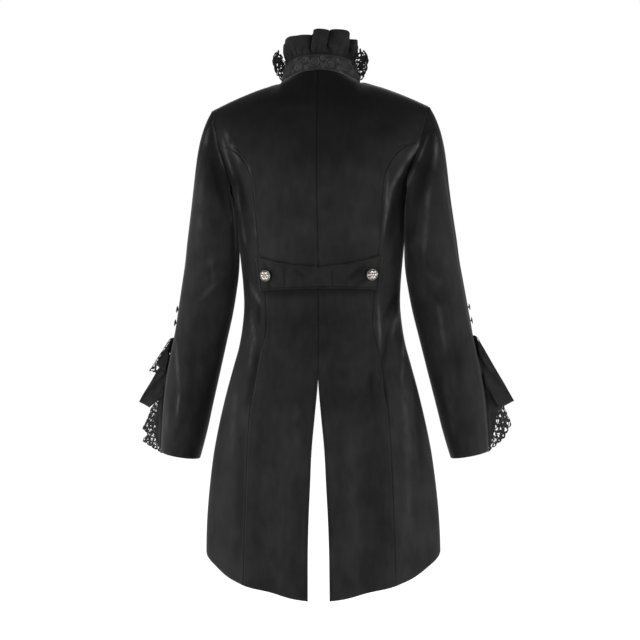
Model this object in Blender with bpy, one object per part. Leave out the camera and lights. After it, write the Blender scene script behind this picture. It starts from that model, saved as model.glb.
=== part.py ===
"""A tailcoat with a ruffled stand collar, a half belt and slit cuffs that spill ruffles.

Metres, +Z up. The coat is filled out as it is when worn. +Y is the way the wearer faces, so the
back of the coat faces -Y, and the wearer's right side is at +X. The origin is at the centre of
the neck, level with the inner ends of the shoulder seams.
"""

import math

import bpy
import numpy as np
from mathutils import Vector

# Thickness of each cloth wall, and the gap that parts two pieces at a seam or in a layer.
VELVET = 0.0018
RUFFLE_CLOTH = 0.0012
LACE = 0.0010
GAP = 0.0003

# Levels of the body, from the neck down.
SHOULDER_Z = -0.047
PRINCESS_TOP_Z = -0.114
UNDERARM_Z = -0.200
WAIST_Z = -0.395

# Half widths of the neck and of the shoulders, and where the neck ring lies.
NECK_HALF = 0.0705
SHOULDER_HALF = 0.193
NECK_Y = 0.010
NECK_BACK = 0.060
NECK_FRONT = 0.062
SHOULDER_CURVE = 1.33
SHOULDER_BEND = 2.8
SHOULDER_SPREAD = 0.13
NECK_BEND_REACH = 0.075

# The body's sections are superellipses of this power.
ROUNDNESS = 2.4

# The front overlaps by this much past the centre line, each side stepping in or out.
LAP = 0.015
LAP_STEP = (VELVET + 2 * GAP) / 2

BUST_X = 0.085
BUST_Z = -0.250
BUST_LIFT = 0.010
BUST_SPREAD = 0.052

FLUTE_DEPTH = 0.005
FLUTES = 5.0
FLUTE_TOP_Z = -0.44
FLUTE_FULL_Z = -0.72


class Table:
    """Rows of named columns, rising in the first one, read along a smooth curve."""

    def __init__(self, columns, rows):
        self.columns = columns.split()
        self.rows = np.array(rows, float)

    def __call__(self, column, at):
        x = self.rows[:, 0]
        y = self.rows[:, self.columns.index(column)]
        steps = np.diff(x)
        chords = np.diff(y) / steps
        same_way = chords[:-1] * chords[1:] > 0
        total = np.where(same_way, chords[:-1] + chords[1:], 1.0)
        inner = np.where(same_way, 2 * chords[:-1] * chords[1:] / total, 0.0)
        slopes = np.concatenate([chords[:1], inner, chords[-1:]])
        at = np.clip(at, x[0], x[-1])
        i = np.clip(np.searchsorted(x, at, side="right") - 1, 0, len(steps) - 1)
        t = (at - x[i]) / steps[i]
        rise = t * t * (3 - 2 * t)
        start = t * (1 - t) ** 2 * steps[i] * slopes[i]
        end = t * t * (t - 1) * steps[i] * slopes[i + 1]
        return y[i] * (1 - rise) + y[i + 1] * rise + start + end


# Height of the neck seam round half the neck, from the nape at 0 to the throat at 180 degrees.
NECK_SEAM = Table(
    "angle z",
    [
        (0.0, 0.0155),
        (22.5, 0.0130),
        (45.0, 0.0067),
        (67.5, 0.0014),
        (90.0, 0.0000),
        (112.5, -0.0080),
        (135.0, -0.0240),
        (157.5, -0.0450),
        (180.0, -0.0620),
    ],
)

# Half width of the body, and how far its back and front stand from the middle. Above the
# underarm these are wider than the cloth, which the armhole cuts.
BODY = Table(
    "z half_width back front",
    [
        (-0.940, 0.2050, 0.142, 0.108),
        (-0.800, 0.2030, 0.137, 0.110),
        (-0.690, 0.1940, 0.132, 0.112),
        (-0.600, 0.1795, 0.126, 0.113),
        (-0.529, 0.1635, 0.114, 0.110),
        (-0.457, 0.1450, 0.095, 0.104),
        (-0.395, 0.1380, 0.082, 0.098),
        (-0.280, 0.1470, 0.096, 0.118),
        (-0.200, 0.1560, 0.104, 0.114),
        (-0.150, 0.1800, 0.103, 0.100),
        (-0.110, 0.1950, 0.100, 0.090),
        (-0.047, 0.2050, 0.094, 0.080),
        (0.020, 0.2100, 0.090, 0.075),
    ],
)

# Distance of the armhole's edge from the middle.
ARMHOLE = Table(
    "z back front",
    [
        (-0.200, 0.1560, 0.1560),
        (-0.190, 0.1565, 0.1550),
        (-0.176, 0.1590, 0.1560),
        (-0.137, 0.1690, 0.1630),
        (-0.114, 0.1760, 0.1690),
        (-0.085, 0.1840, 0.1780),
        (-0.047, 0.1930, 0.1930),
    ],
)

# Distance of the princess seams from the middle.
PRINCESS = Table(
    "z back front",
    [
        (-0.940, 0.1280, 0.140),
        (-0.800, 0.1250, 0.130),
        (-0.600, 0.1180, 0.112),
        (-0.549, 0.1135, 0.101),
        (-0.508, 0.1076, 0.092),
        (-0.463, 0.0980, 0.081),
        (-0.437, 0.0915, 0.077),
        (-0.377, 0.0940, 0.074),
        (-0.305, 0.1035, 0.083),
        (-0.216, 0.1095, 0.096),
        (-0.173, 0.1150, 0.105),
        (-0.144, 0.1290, 0.118),
        (-0.127, 0.1450, 0.135),
        (-0.119, 0.1600, 0.151),
        (-0.114, 0.1760, 0.169),
    ],
)

# Height of the hem round half the coat, from the centre back at 0 to the centre front at 1.
HEM = Table(
    "share z",
    [
        (0.000, -0.896),
        (0.125, -0.886),
        (0.250, -0.873),
        (0.375, -0.851),
        (0.440, -0.832),
        (0.500, -0.806),
        (0.620, -0.735),
        (0.750, -0.620),
        (0.880, -0.512),
        (1.000, -0.462),
    ],
)

# Half the width of the open vent between the tails.
VENT = Table(
    "z half_gap",
    [
        (-0.940, 0.0187),
        (-0.794, 0.0177),
        (-0.726, 0.0144),
        (-0.659, 0.0118),
        (-0.591, 0.0059),
        (-0.5239, 0.0000),
        (0.020, 0.0000),
    ],
)

# Rows of a panel: shares of the way from waist to hem, heights from the waist up to the top of
# the princess seam, and shares of the way from there to the top edge.
SKIRT_SHARES = (1.0, 0.93, 0.84, 0.73, 0.61, 0.49, 0.37, 0.253, 0.17, 0.085)
WAIST_TO_CHEST = (-0.395, -0.345, -0.290, -0.240, -0.200, -0.172, -0.150, -0.134, -0.123)
TOP_SHARES = (0.0, 0.27, 0.52, 0.74, 0.91, 1.0)

BACK_NECK_ANGLES = (0.0, 22.5, 45.0, 67.5, 90.0)
FRONT_NECK_ANGLES = (157.5, 135.0, 112.5, 90.0)
SHOULDER_COLUMNS = 4
SIDE_COLUMNS = 4

# Below this height the columns of a side panel are evenly spread, and above it they turn towards
# the corners of the armhole.
EVEN_SIDE_Z = -0.28


def ease(t):
    """0 below 0, 1 above 1, and a smooth step between."""
    t = np.clip(t, 0.0, 1.0)
    return t * t * (3.0 - 2.0 * t)


def unit(vectors):
    return vectors / np.maximum(np.linalg.norm(vectors, axis=-1, keepdims=True), 1e-12)


def neck_point(angle):
    """A point of the neck ring, whose angle is 0 at the nape and 180 degrees at the throat."""
    turn = np.radians(angle)
    reach = np.where(np.cos(turn) > 0, NECK_BACK, NECK_FRONT)
    z = NECK_SEAM("z", angle)
    return np.stack([NECK_HALF * np.sin(turn), NECK_Y - reach * np.cos(turn), z], axis=-1)


def top_edge(face, reach):
    """Depth and height of the neckline or shoulder seam, and the power of the bend up to it."""
    within = np.degrees(np.arcsin(np.clip(reach / NECK_HALF, 0.0, 1.0)))
    neck = neck_point(within if face == "back" else 180.0 - within)
    out = np.clip((reach - NECK_HALF) / (SHOULDER_HALF - NECK_HALF), 0.0, 1.0)
    y = np.where(reach < NECK_HALF, neck[..., 1], NECK_Y * (1 - out))
    z = np.where(reach < NECK_HALF, neck[..., 2], SHOULDER_Z * out**SHOULDER_CURVE)
    return y, z, 1.0 - 0.5 * ease(reach / NECK_BEND_REACH)


def soft_edge_y(face, reach):
    """Depth that the neckline or shoulder seam lends to the cloth well below it."""
    middle = NECK_Y + NECK_FRONT if face == "front" else NECK_Y - NECK_BACK
    return middle * (1.0 - ease(reach / SHOULDER_SPREAD))


def body_y(face, x, z):
    """Depth of the coat's back or front at a place seen from behind."""
    reach = np.abs(x)
    share = np.minimum(reach / BODY("half_width", z), 1.0)
    depth = BODY(face, z) * (1.0 - share**ROUNDNESS) ** (1.0 / ROUNDNESS)
    if face == "front":
        away = ((reach - BUST_X) / BUST_SPREAD) ** 2 + ((z - BUST_Z) / BUST_SPREAD) ** 2
        depth = depth + BUST_LIFT * np.exp(-away) * (1.0 - share**8)
    edge_y, edge_z, power = top_edge(face, reach)
    rise = np.clip((z - UNDERARM_Z) / (edge_z - UNDERARM_Z), 0.0, 1.0)
    y = depth if face == "front" else -depth
    soft_y = soft_edge_y(face, reach)
    edge_y = soft_y + (edge_y - soft_y) * rise**14
    return edge_y + (y - edge_y) * (1.0 - rise**SHOULDER_BEND) ** power


def armhole_z(angle):
    """Height of the armhole's edge, whose angle is 0 at the shoulder and 180 at the underarm."""
    middle = (SHOULDER_Z + UNDERARM_Z) / 2
    return middle + (SHOULDER_Z - middle) * np.cos(np.radians(angle))


def armhole_point(angle):
    """A point of the armhole's edge: angles to 180 degrees lie on the back, and the rest in front."""
    z = armhole_z(angle)
    face = "back" if angle <= 180.0 else "front"
    x = ARMHOLE(face, z)
    return np.array([x, body_y(face, x, z), z])


def centre_columns(face):
    """Distances from the middle of the top ends of a centre panel's columns."""
    if face == "back":
        neck = [NECK_HALF * math.sin(math.radians(a)) for a in BACK_NECK_ANGLES]
    else:
        neck = [NECK_HALF * math.sin(math.radians(a)) for a in FRONT_NECK_ANGLES]
        neck = [-LAP, 0.0, LAP] + neck
    shoulder = np.linspace(NECK_HALF, SHOULDER_HALF, SHOULDER_COLUMNS + 1)[1:]
    return np.array(neck + list(shoulder))


def hem_z(face, share):
    """Height of the hem on a panel: share is 0 at the middle of that face and 1 at the side seam."""
    return HEM("z", share / 2 if face == "back" else 1.0 - share / 2)


def turn_of(x, z):
    """Angle round a section, 0 in the middle and a quarter turn at the side."""
    share = np.clip(np.abs(x) / BODY("half_width", z), 0.0, 1.0)
    return np.arcsin(share ** (ROUNDNESS / 2))


def fluted(face, share, points):
    """The points moved out by the soft upright waves of the skirt."""
    girth = share / 2 if face == "back" else 1.0 - share / 2
    z = points[..., 2]
    grown = ease((FLUTE_TOP_Z - z) / (FLUTE_TOP_Z - FLUTE_FULL_Z))
    lift = FLUTE_DEPTH * grown * np.sin(2 * math.pi * FLUTES * girth)
    turn = turn_of(points[..., 0], z)
    ahead = 1.0 if face == "front" else -1.0
    out = np.stack([np.sin(turn), ahead * np.cos(turn), np.zeros_like(turn)], axis=-1)
    return points + lift[..., None] * out


def centre_panel(face):
    """Middle of the wall from the centre line to the princess seam, armhole and shoulder."""
    start = -LAP if face == "front" else 0.0
    tops = centre_columns(face)
    top_share = (tops - start) / (SHOULDER_HALF - start)
    even_share = np.linspace(0.0, 1.0, len(tops))
    if face == "front":
        even_share[:3] = top_share[:3] * 1.6
    rows = []
    levels = [("skirt", f) for f in SKIRT_SHARES] + [("body", z) for z in WAIST_TO_CHEST]
    for kind, value in levels + [("top", f) for f in TOP_SHARES]:
        if kind == "skirt":
            z = WAIST_Z + (hem_z(face, even_share / 2) - WAIST_Z) * value
        elif kind == "body":
            z = np.full(len(tops), value)
        else:
            top_z = top_edge(face, np.abs(tops))[1]
            z = PRINCESS_TOP_Z + (top_z - PRINCESS_TOP_Z) * value
        spread = ease((z - BUST_Z) / (PRINCESS_TOP_Z - BUST_Z))
        share = even_share * (1 - spread) + top_share * spread
        edge = PRINCESS(face, z) if kind != "top" else ARMHOLE(face, z)
        inner = VENT("half_gap", z) if face == "back" else start
        x = inner + (edge - inner) * share
        row = np.stack([x, body_y(face, x, z), z], axis=-1)
        rows.append(fluted(face, even_share / 2, row))
    return np.array(rows)


def side_panel(face):
    """Middle of the wall from the princess seam round to the side seam, up to the armhole."""
    shares = np.linspace(0.0, 1.0, SIDE_COLUMNS + 1)
    angle_top = math.degrees(
        math.acos((2 * PRINCESS_TOP_Z - SHOULDER_Z - UNDERARM_Z) / (SHOULDER_Z - UNDERARM_Z))
    )
    arm_angles = angle_top + (180.0 - angle_top) * shares
    top_z = armhole_z(arm_angles)
    top_turn = turn_of(ARMHOLE(face, top_z), top_z)
    top_turn[-1] = math.pi / 2
    rows = []
    chest = list(WAIST_TO_CHEST) + [PRINCESS_TOP_Z]
    for kind, value in [("skirt", f) for f in SKIRT_SHARES] + [("body", z) for z in chest]:
        if kind == "skirt":
            z = WAIST_Z + (hem_z(face, 0.5 + shares / 2) - WAIST_Z) * value
        else:
            z = WAIST_Z + (top_z - WAIST_Z) * (value - WAIST_Z) / (PRINCESS_TOP_Z - WAIST_Z)
        near = turn_of(PRINCESS(face, z), z)
        near_top = turn_of(PRINCESS(face, top_z), top_z)
        plain = near + (math.pi / 2 - near) * shares
        bent = near + (top_turn - near_top)
        turn = plain + (bent - plain) * ease((z - EVEN_SIDE_Z) / (top_z - EVEN_SIDE_Z))
        x = BODY("half_width", z) * np.sin(turn) ** (2 / ROUNDNESS)
        row = np.stack([x, body_y(face, x, z), z], axis=-1)
        rows.append(fluted(face, 0.5 + shares / 2, row))
    return np.array(rows)


# The sleeve below the underarm: centre, half sizes sideways and front to back, and the slope
# of the section, which lifts its outer side.
SLEEVE = Table(
    "z x y half_x half_y slope",
    [
        (-0.663, 0.2610, 0.030, 0.0340, 0.054, 0.20),
        (-0.618, 0.2532, 0.026, 0.0393, 0.054, 0.18),
        (-0.564, 0.2442, 0.020, 0.0433, 0.054, 0.17),
        (-0.511, 0.2331, 0.014, 0.0454, 0.054, 0.16),
        (-0.440, 0.2168, 0.008, 0.0462, 0.055, 0.15),
        (-0.386, 0.2060, 0.003, 0.0480, 0.057, 0.14),
        (-0.315, 0.1950, -0.003, 0.0470, 0.061, 0.13),
        (-0.226, 0.1900, -0.006, 0.0400, 0.066, 0.13),
    ],
)
BICEP_Z = -0.226
SLIT_TOP_Z = -0.447
CAP_ROWS = (0.0, 0.10, 0.24, 0.42, 0.62, 0.82)
ARM_ROWS = (-0.226, -0.258, -0.290, -0.325, -0.365, -0.405, -0.447)
CUFF_ROWS = (-0.470, -0.500, -0.535, -0.570, -0.606, -0.638, -0.663)

# Angles round the sleeve, 0 at its outer side and 90 degrees at the back. The seams run from the
# armhole to the cuff, and the slit opens at the outer one.
HIND_SEAM = Table("z angle", [(-0.447, 3.0), (-0.30, 9.0), (-0.226, 16.0)])
FORE_SEAM = 210.0
SLIT = Table(
    "z back front",
    [(-0.663, 14.0, -48.0), (-0.560, 12.0, -30.0), (-0.480, 8.0, -14.0), (-0.447, 3.0, 3.0)],
)
ARMPIT_SHIFT = VELVET + 2 * GAP
BODY_CLEARANCE = VELVET + 0.0007


def clear_of_body(points):
    """The sleeve's points, where they would touch the side of the body, moved out from it."""
    z = points[..., 2]
    depth = np.where(points[..., 1] < 0, BODY("back", z), BODY("front", z))
    share = np.clip(np.abs(points[..., 1]) / depth, 0.0, 1.0)
    side = BODY("half_width", z) * (1.0 - share**ROUNDNESS) ** (1.0 / ROUNDNESS)
    out = points.copy()
    out[..., 0] = np.maximum(points[..., 0], side + BODY_CLEARANCE)
    return out


def sleeve_ring(z, angle):
    """A point of the sleeve at an angle round it."""
    turn = np.radians(angle)
    out = SLEEVE("half_x", z) * np.cos(turn)
    x = SLEEVE("x", z) + out
    y = SLEEVE("y", z) - SLEEVE("half_y", z) * np.sin(turn)
    return clear_of_body(np.stack([x, y, z + SLEEVE("slope", z) * out], axis=-1))


def cap_point(start, angle, t):
    """A point of the sleeve's cap, part of the way from the armhole to the upper arm."""
    turn = math.radians(angle)
    high = (1 + math.cos(turn)) / 2
    end = sleeve_ring(BICEP_Z, angle)
    length = np.linalg.norm(end - start)
    out = unit(np.array([0.12 + 0.50 * high, -0.22 * math.sin(turn), -1.0]))
    down = unit(sleeve_ring(BICEP_Z - 0.01, angle) - end)
    p1 = start + out * length * 0.33
    p2 = end - down * length * 0.33
    return (
        start * (1 - t) ** 3 + 3 * p1 * t * (1 - t) ** 2 + 3 * p2 * t * t * (1 - t) + end * t**3
    )


def armhole_angles():
    """Angles of the panels' corners round the armhole, from the shoulder to the underarm."""
    top_z = [PRINCESS_TOP_Z + (SHOULDER_Z - PRINCESS_TOP_Z) * f for f in reversed(TOP_SHARES)]
    middle = (SHOULDER_Z + UNDERARM_Z) / 2
    upper = [math.degrees(math.acos((z - middle) / (SHOULDER_Z - middle))) for z in top_z]
    return upper + list(np.linspace(upper[-1], 180.0, SIDE_COLUMNS + 1)[1:])


def seam_angles(part, z):
    """Angles of a sleeve half's two edges at a height."""
    if z < SLIT_TOP_Z:
        back, front = float(SLIT("back", z)), float(SLIT("front", z))
    else:
        back = front = float(HIND_SEAM("angle", z))
    return (back, FORE_SEAM) if part == "back" else (FORE_SEAM, 360.0 + front)


def armpit_shift(angle):
    """How far the sleeve's edge stands out from the armhole's, low down where the walls face."""
    return ARMPIT_SHIFT * ease(-np.cos(np.radians(angle)) / 0.9)


def sleeve_arm_angles(part):
    """Angles round the armhole of the corners of a sleeve half's top edge."""
    half = armhole_angles()
    around = half + [360.0 - a for a in reversed(half[:-1])]
    hind, fore = half[2], 360.0 - half[-2]
    if part == "back":
        return np.array([a for a in around if hind <= a <= fore])
    return np.array([a for a in around if a >= fore] + [360.0 + a for a in half[1:3]])


def sleeve_panel(part):
    """Middle of the wall of the back or front half of a sleeve, from the armhole to the cuff."""
    arm = sleeve_arm_angles(part)
    share = np.linspace(0.0, 1.0, len(arm))
    near, far = seam_angles(part, BICEP_Z)
    rows = []
    for t in CAP_ROWS:
        grown = ease(t)
        angles = arm * (1 - grown) + (near + (far - near) * share) * grown
        row = []
        for a, base in zip(angles, arm):
            start = armhole_point(base % 360.0)
            start[0] += armpit_shift(base) * (t > 0)
            row.append(cap_point(start, a, t))
        rows.append(row)
    for z in ARM_ROWS + CUFF_ROWS:
        near, far = seam_angles(part, z)
        rows.append(sleeve_ring(np.full(len(arm), z), near + (far - near) * share))
    return np.array(rows)


# The stand collar: height of its band, and how far its top leans in.
COLLAR = Table(
    "angle height lean",
    [
        (0.0, 0.0275, 0.005),
        (30.0, 0.0300, 0.006),
        (50.0, 0.0340, 0.008),
        (90.0, 0.0385, 0.0085),
        (135.0, 0.0340, 0.008),
        (180.0, 0.0300, 0.006),
    ],
)
THROAT_ANGLE = 178.6
COLLAR_SHARES = (0.0, 0.5, 1.0)


def level_outward(angle):
    """The level direction away from the neck at an angle round it."""
    turn = np.radians(angle)
    return np.stack([np.sin(turn), -np.cos(turn), np.zeros_like(turn)], axis=-1)


def collar_point(angle, share):
    """A point of the collar's wall, at a share of its height."""
    base = neck_point(np.abs(angle))
    base[..., 0] *= np.sign(angle)
    base -= level_outward(angle) * (COLLAR("lean", np.abs(angle)) * share)[..., None]
    base[..., 2] += COLLAR("height", np.abs(angle)) * share
    return base


def collar_angles():
    """Angles of the collar's corners, which meet the corners of the panels' necklines."""
    lap_angle = 180.0 - math.degrees(math.asin(LAP / NECK_HALF))
    half = list(BACK_NECK_ANGLES) + sorted(FRONT_NECK_ANGLES)[1:] + [lap_angle, THROAT_ANGLE]
    return np.array([-a for a in reversed(half[1:])] + half)


def collar_wall():
    """Middle of the collar's wall. Its upper rows have more corners, set between the seam's own."""
    seam = collar_angles()
    angles = np.sort(np.concatenate([seam, (seam[1:] + seam[:-1]) / 2]))
    rows = [collar_point(angles, np.full(len(angles), s)) for s in COLLAR_SHARES]
    rows[0] = between(collar_point(seam, np.zeros(len(seam))))
    return np.array(rows)


def between(row):
    """The row with a point added halfway along each of its straight pieces."""
    out = np.empty((2 * len(row) - 1, row.shape[1]))
    out[::2] = row
    out[1::2] = (row[1:] + row[:-1]) / 2
    return out


def grid_normals(points, flip=False):
    """Unit normals of a grid of points, one for each."""
    across = np.gradient(points, axis=1)
    along = np.gradient(points, axis=0)
    normals = unit(np.cross(across, along))
    return -normals if flip else normals


def place_key(point):
    """Whole numbers that are the same for points within about 0.01 mm."""
    return tuple(np.round((point + 3.1e-6) / 2e-5).astype(int))


def share_normals(grids):
    """Gives points that lie together on a seam one normal, so that the walls meet face to face."""
    sums = {}
    for points, normals in grids:
        for p, n in zip(points.reshape(-1, 3), normals.reshape(-1, 3)):
            sums.setdefault(place_key(p), []).append(n)
    for points, normals in grids:
        flat = normals.reshape(-1, 3)
        for i, p in enumerate(points.reshape(-1, 3)):
            found = sums[place_key(p)]
            if len(found) > 1:
                flat[i] = unit(np.sum(found, axis=0))


def trimmed(points, edges, amount=GAP / 2):
    """The grid with the edges named moved in along the cloth by half a seam's gap."""
    out = points.copy()
    sides = {
        "first_row": (out[0], out[1]),
        "last_row": (out[-1], out[-2]),
        "first_column": (out[:, 0], out[:, 1]),
        "last_column": (out[:, -1], out[:, -2]),
    }
    for name in edges:
        edge, inside = sides[name]
        tangent = unit(np.gradient(edge, axis=0))
        inward = inside - edge
        inward -= np.sum(inward * tangent, axis=-1, keepdims=True) * tangent
        edge += unit(inward) * amount
    return out


def new_material(name, colour, roughness, metallic=0.0):
    material = bpy.data.materials.new(name)
    material.use_nodes = True
    shader = material.node_tree.nodes["Principled BSDF"]
    shader.inputs["Base Color"].default_value = (*colour, 1.0)
    shader.inputs["Roughness"].default_value = roughness
    shader.inputs["Metallic"].default_value = metallic
    return material


def new_object(name, points, faces, material, smooth_angle=60.0):
    """A closed mesh object whose faces point out."""
    points = np.asarray(points, float)
    triangles = np.array([(f[0], f[i], f[i + 1]) for f in faces for i in range(1, len(f) - 1)])
    a, b, c = points[triangles[:, 0]], points[triangles[:, 1]], points[triangles[:, 2]]
    if np.sum(a * np.cross(b, c)) < 0:
        faces = [tuple(reversed(face)) for face in faces]
    mesh = bpy.data.meshes.new(name)
    mesh.from_pydata([tuple(p) for p in points], [], faces)
    mesh.validate()
    mesh.shade_smooth()
    mesh.set_sharp_from_angle(angle=math.radians(smooth_angle))
    mesh.materials.append(material)
    piece = bpy.data.objects.new(name, mesh)
    bpy.context.scene.collection.objects.link(piece)
    return piece


def cell_triangles(points, r, c):
    """Corner numbers of the two triangles of a grid's cell, parted along the shorter diagonal."""
    columns = points.shape[1]
    a = r * columns + c
    b, d = a + 1, a + columns
    e = d + 1
    first = np.linalg.norm(points[r, c] - points[r + 1, c + 1])
    second = np.linalg.norm(points[r, c + 1] - points[r + 1, c])
    return [(a, b, e), (a, e, d)] if first <= second + 1e-7 else [(a, b, d), (b, e, d)]


def wall(name, middle, outer, inner, material, holes=()):
    """A closed wall between two grids of points. holes names the cells that are cut through."""
    rows, columns = outer.shape[:2]
    count = rows * columns
    points = np.concatenate([outer.reshape(-1, 3), inner.reshape(-1, 3)])
    edges = {}
    faces = []
    for r in range(rows - 1):
        for c in range(columns - 1):
            if (r, c) in holes:
                continue
            for triangle in cell_triangles(middle, r, c):
                faces += [triangle, tuple(count + i for i in reversed(triangle))]
            a = r * columns + c
            ring = (a, a + 1, a + 1 + columns, a + columns)
            for i, j in zip(ring, ring[1:] + ring[:1]):
                if (j, i) in edges:
                    del edges[(j, i)]
                else:
                    edges[(i, j)] = True
    for i, j in edges:
        faces += [(j, i, count + i), (j, count + i, count + j)]
    return new_object(name, points, faces, material)


def cloth(name, points, normals, thickness, material, side=1, holes=(), edges=()):
    """A wall of cloth about a grid of points, on the wearer's right at side 1 and left at -1."""
    points = trimmed(points, edges)
    outer = points + normals * thickness / 2
    inner = points - normals * thickness / 2
    mirror = np.array([side, 1, 1])
    return wall(name, points, outer * mirror, inner * mirror, material, set(holes))


def grid_triangles(points):
    """All the triangles of a grid's surface."""
    flat = points.reshape(-1, 3)
    rows, columns = points.shape[:2]
    cells = [(r, c) for r in range(rows - 1) for c in range(columns - 1)]
    return flat[np.array([t for r, c in cells for t in cell_triangles(points, r, c)])]


def first_hit(triangles, start, direction):
    """Where a straight line first meets a set of triangles, and the way the surface faces there."""
    a, b, c = triangles[:, 0], triangles[:, 1], triangles[:, 2]
    normal = np.cross(b - a, c - a)
    slope = normal @ direction
    slope = np.where(np.abs(slope) < 1e-14, 1e-14, slope)
    reach = np.sum((a - start) * normal, axis=1) / slope
    place = start + reach[:, None] * direction
    inside = reach > 0
    for p, q in ((a, b), (b, c), (c, a)):
        inside &= np.sum(np.cross(q - p, place - p) * normal, axis=1) >= -1e-13
    nearest = np.argmin(np.where(inside, reach, np.inf))
    facing = unit(normal[nearest])
    return place[nearest], facing * -np.sign(facing @ direction)


def lapped(points, normals, side):
    """The front with its overlap stepped out on the wearer's right and in on the left."""
    near = ease((2 * LAP - points[..., 0]) / LAP)
    return points + normals * (side * LAP_STEP * near)[..., None]


def outward_normals(points, centre_x=0.0):
    """Normals of a tube's grid that point away from its upright middle line."""
    normals = grid_normals(points)
    away = points[..., :2] - np.array([centre_x, 0.0])
    return normals if np.mean(normals[..., :2] * away) > 0 else -normals


def body_grids():
    """Middles and normals of the panels and the collar, with the normals shared at the seams."""
    grids = {
        "back": centre_panel("back"),
        "side_back": side_panel("back"),
        "front": centre_panel("front"),
        "side_front": side_panel("front"),
        "sleeve_back": sleeve_panel("back"),
        "sleeve_front": sleeve_panel("front"),
    }
    normals = {n: outward_normals(p, 0.2 if "sleeve" in n else 0.0) for n, p in grids.items()}
    normals["back"][:, 0, 0] = 0.0
    normals["back"] = unit(normals["back"])
    seam = collar_angles()
    band = collar_wall()
    grids["collar_seam"] = np.array([collar_point(seam, np.full(len(seam), s)) for s in (0.0, 0.5)])
    normals["collar_seam"] = outward_normals(grids["collar_seam"])
    own = {n: normals[n][0].copy() for n in ("sleeve_back", "sleeve_front")}
    share_normals([(grids[n], normals[n]) for n in grids])
    for n in own:
        arm = sleeve_arm_angles(n[7:]) % 360.0
        apart = ease((np.abs(180.0 - arm) - 15.0) / 30.0)[:, None]
        normals[n][0] = unit(normals[n][0] * apart + own[n] * (1 - apart))
        grids[n][0, :, 0] += armpit_shift(arm)
    grids["collar"], normals["collar"] = band, outward_normals(band)
    right = len(seam) // 2
    foot = normals["collar_seam"][0]
    foot[:right] = foot[:right:-1] * np.array([-1, 1, 1])
    foot[right, 0] = 0.0
    normals["collar"][0] = unit(between(foot))
    return grids, normals


PANEL_EDGES = {
    "back": ("first_column", "last_column", "last_row"),
    "side_back": ("first_column", "last_column", "last_row"),
    "front": ("last_column", "last_row"),
    "side_front": ("first_column", "last_column", "last_row"),
    "sleeve_back": ("first_column", "last_column", "first_row"),
    "sleeve_front": ("first_column", "last_column", "first_row"),
}


def make_body(grids, normals, materials):
    """The eight panels of the body, the two halves of each sleeve, and the collar's band."""
    for n, edges in PANEL_EDGES.items():
        for side, word in ((1, "right"), (-1, "left")):
            shaped = lapped(grids[n], normals[n], side) if n == "front" else grids[n]
            cloth(f"{n}_{word}", shaped, normals[n], VELVET, materials["velvet"], side, (), edges)
    cloth(
        "collar_band", grids["collar"], normals["collar"], VELVET, materials["brocade"],
        edges=["first_row"],
    )


# The pleated ruffle that stands inside the collar: where its creases lie round the neck at the
# free edge, how many degrees they slant from there to the root, and its height above the
# collar's band, which steps from pleat to pleat.
CREASES = (-176.0, -146.0, -115.0, -84.0, -9.0, 20.0, 66.0, 90.0, 117.0, 146.0, 176.0)
CREASE_SLANT = 8.0
RUFFLE = Table(
    "angle height",
    [
        (-180.0, 0.0300),
        (-116.0, 0.0330),
        (-84.0, 0.0336),
        (-60.0, 0.0383),
        (-30.0, 0.0361),
        (-11.0, 0.0345),
        (-7.5, 0.0425),
        (0.0, 0.0432),
        (18.5, 0.0416),
        (22.0, 0.0440),
        (42.0, 0.0460),
        (64.5, 0.0425),
        (68.0, 0.0360),
        (78.0, 0.0350),
        (90.0, 0.0315),
        (180.0, 0.0300),
    ],
)
RUFFLE_SAMPLES = 6
RUFFLE_ROOT = -0.009
RUFFLE_INSET = 0.0032
RUFFLE_SWING = 0.0052
RUFFLE_FLARE = 0.0035


def crease_depth(angle):
    """0 along the flat face of a pleat and 1 in the crease between two."""
    creases = np.array(CREASES)
    i = np.clip(np.searchsorted(creases, angle, side="right") - 1, 0, len(creases) - 2)
    t = (angle - creases[i]) / (creases[i + 1] - creases[i])
    return np.abs(2 * t - 1) ** 2.5


def neck_ruffle_row(angles, share):
    """A row of the standing ruffle: share is below 0 inside the collar and 1 at the free edge."""
    rise = RUFFLE_ROOT * -share if share < 0 else RUFFLE("height", angles) * share
    free = ease(share / 0.45)
    depth = crease_depth(angles + CREASE_SLANT * (1.0 - share) * free)
    inset = RUFFLE_INSET - RUFFLE_FLARE * free - RUFFLE_SWING * free * (1 - 2 * depth)
    lean = COLLAR("lean", np.abs(angles)) / COLLAR("height", np.abs(angles))
    inset = inset + lean * np.minimum(rise, 0.0)
    row = collar_point(angles, np.ones(len(angles)))
    row -= level_outward(angles) * inset[..., None]
    row[:, 2] += rise + 0.0008
    return row


def make_neck_ruffle(materials):
    marks = np.linspace(0.0, 1.0, RUFFLE_SAMPLES + 1)[:-1]
    pairs = zip(CREASES, CREASES[1:])
    angles = np.array([a + (b - a) * m for a, b in pairs for m in marks] + [CREASES[-1]])
    points = np.array([neck_ruffle_row(angles, s) for s in (-1.0, 0.0, 0.25, 0.5, 1.0)])
    cloth(
        "collar_ruffle", points, outward_normals(points), RUFFLE_CLOTH, materials["ruffle_cloth"]
    )


# The lace frill round the sides and front of the collar, outside its band.
FRILL_START = 62.0
FRILL_END = 176.0
FRILL_WAVES = 8
FRILL_SAMPLES = 5
FRILL_WIDTH = 0.022
FRILL_SWING = 0.019
FRILL_ROOT = (VELVET + LACE) / 2 + 2 * GAP
FRILL_ROWS = (0.0, 0.30, 0.56, 0.78, 1.0)


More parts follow.
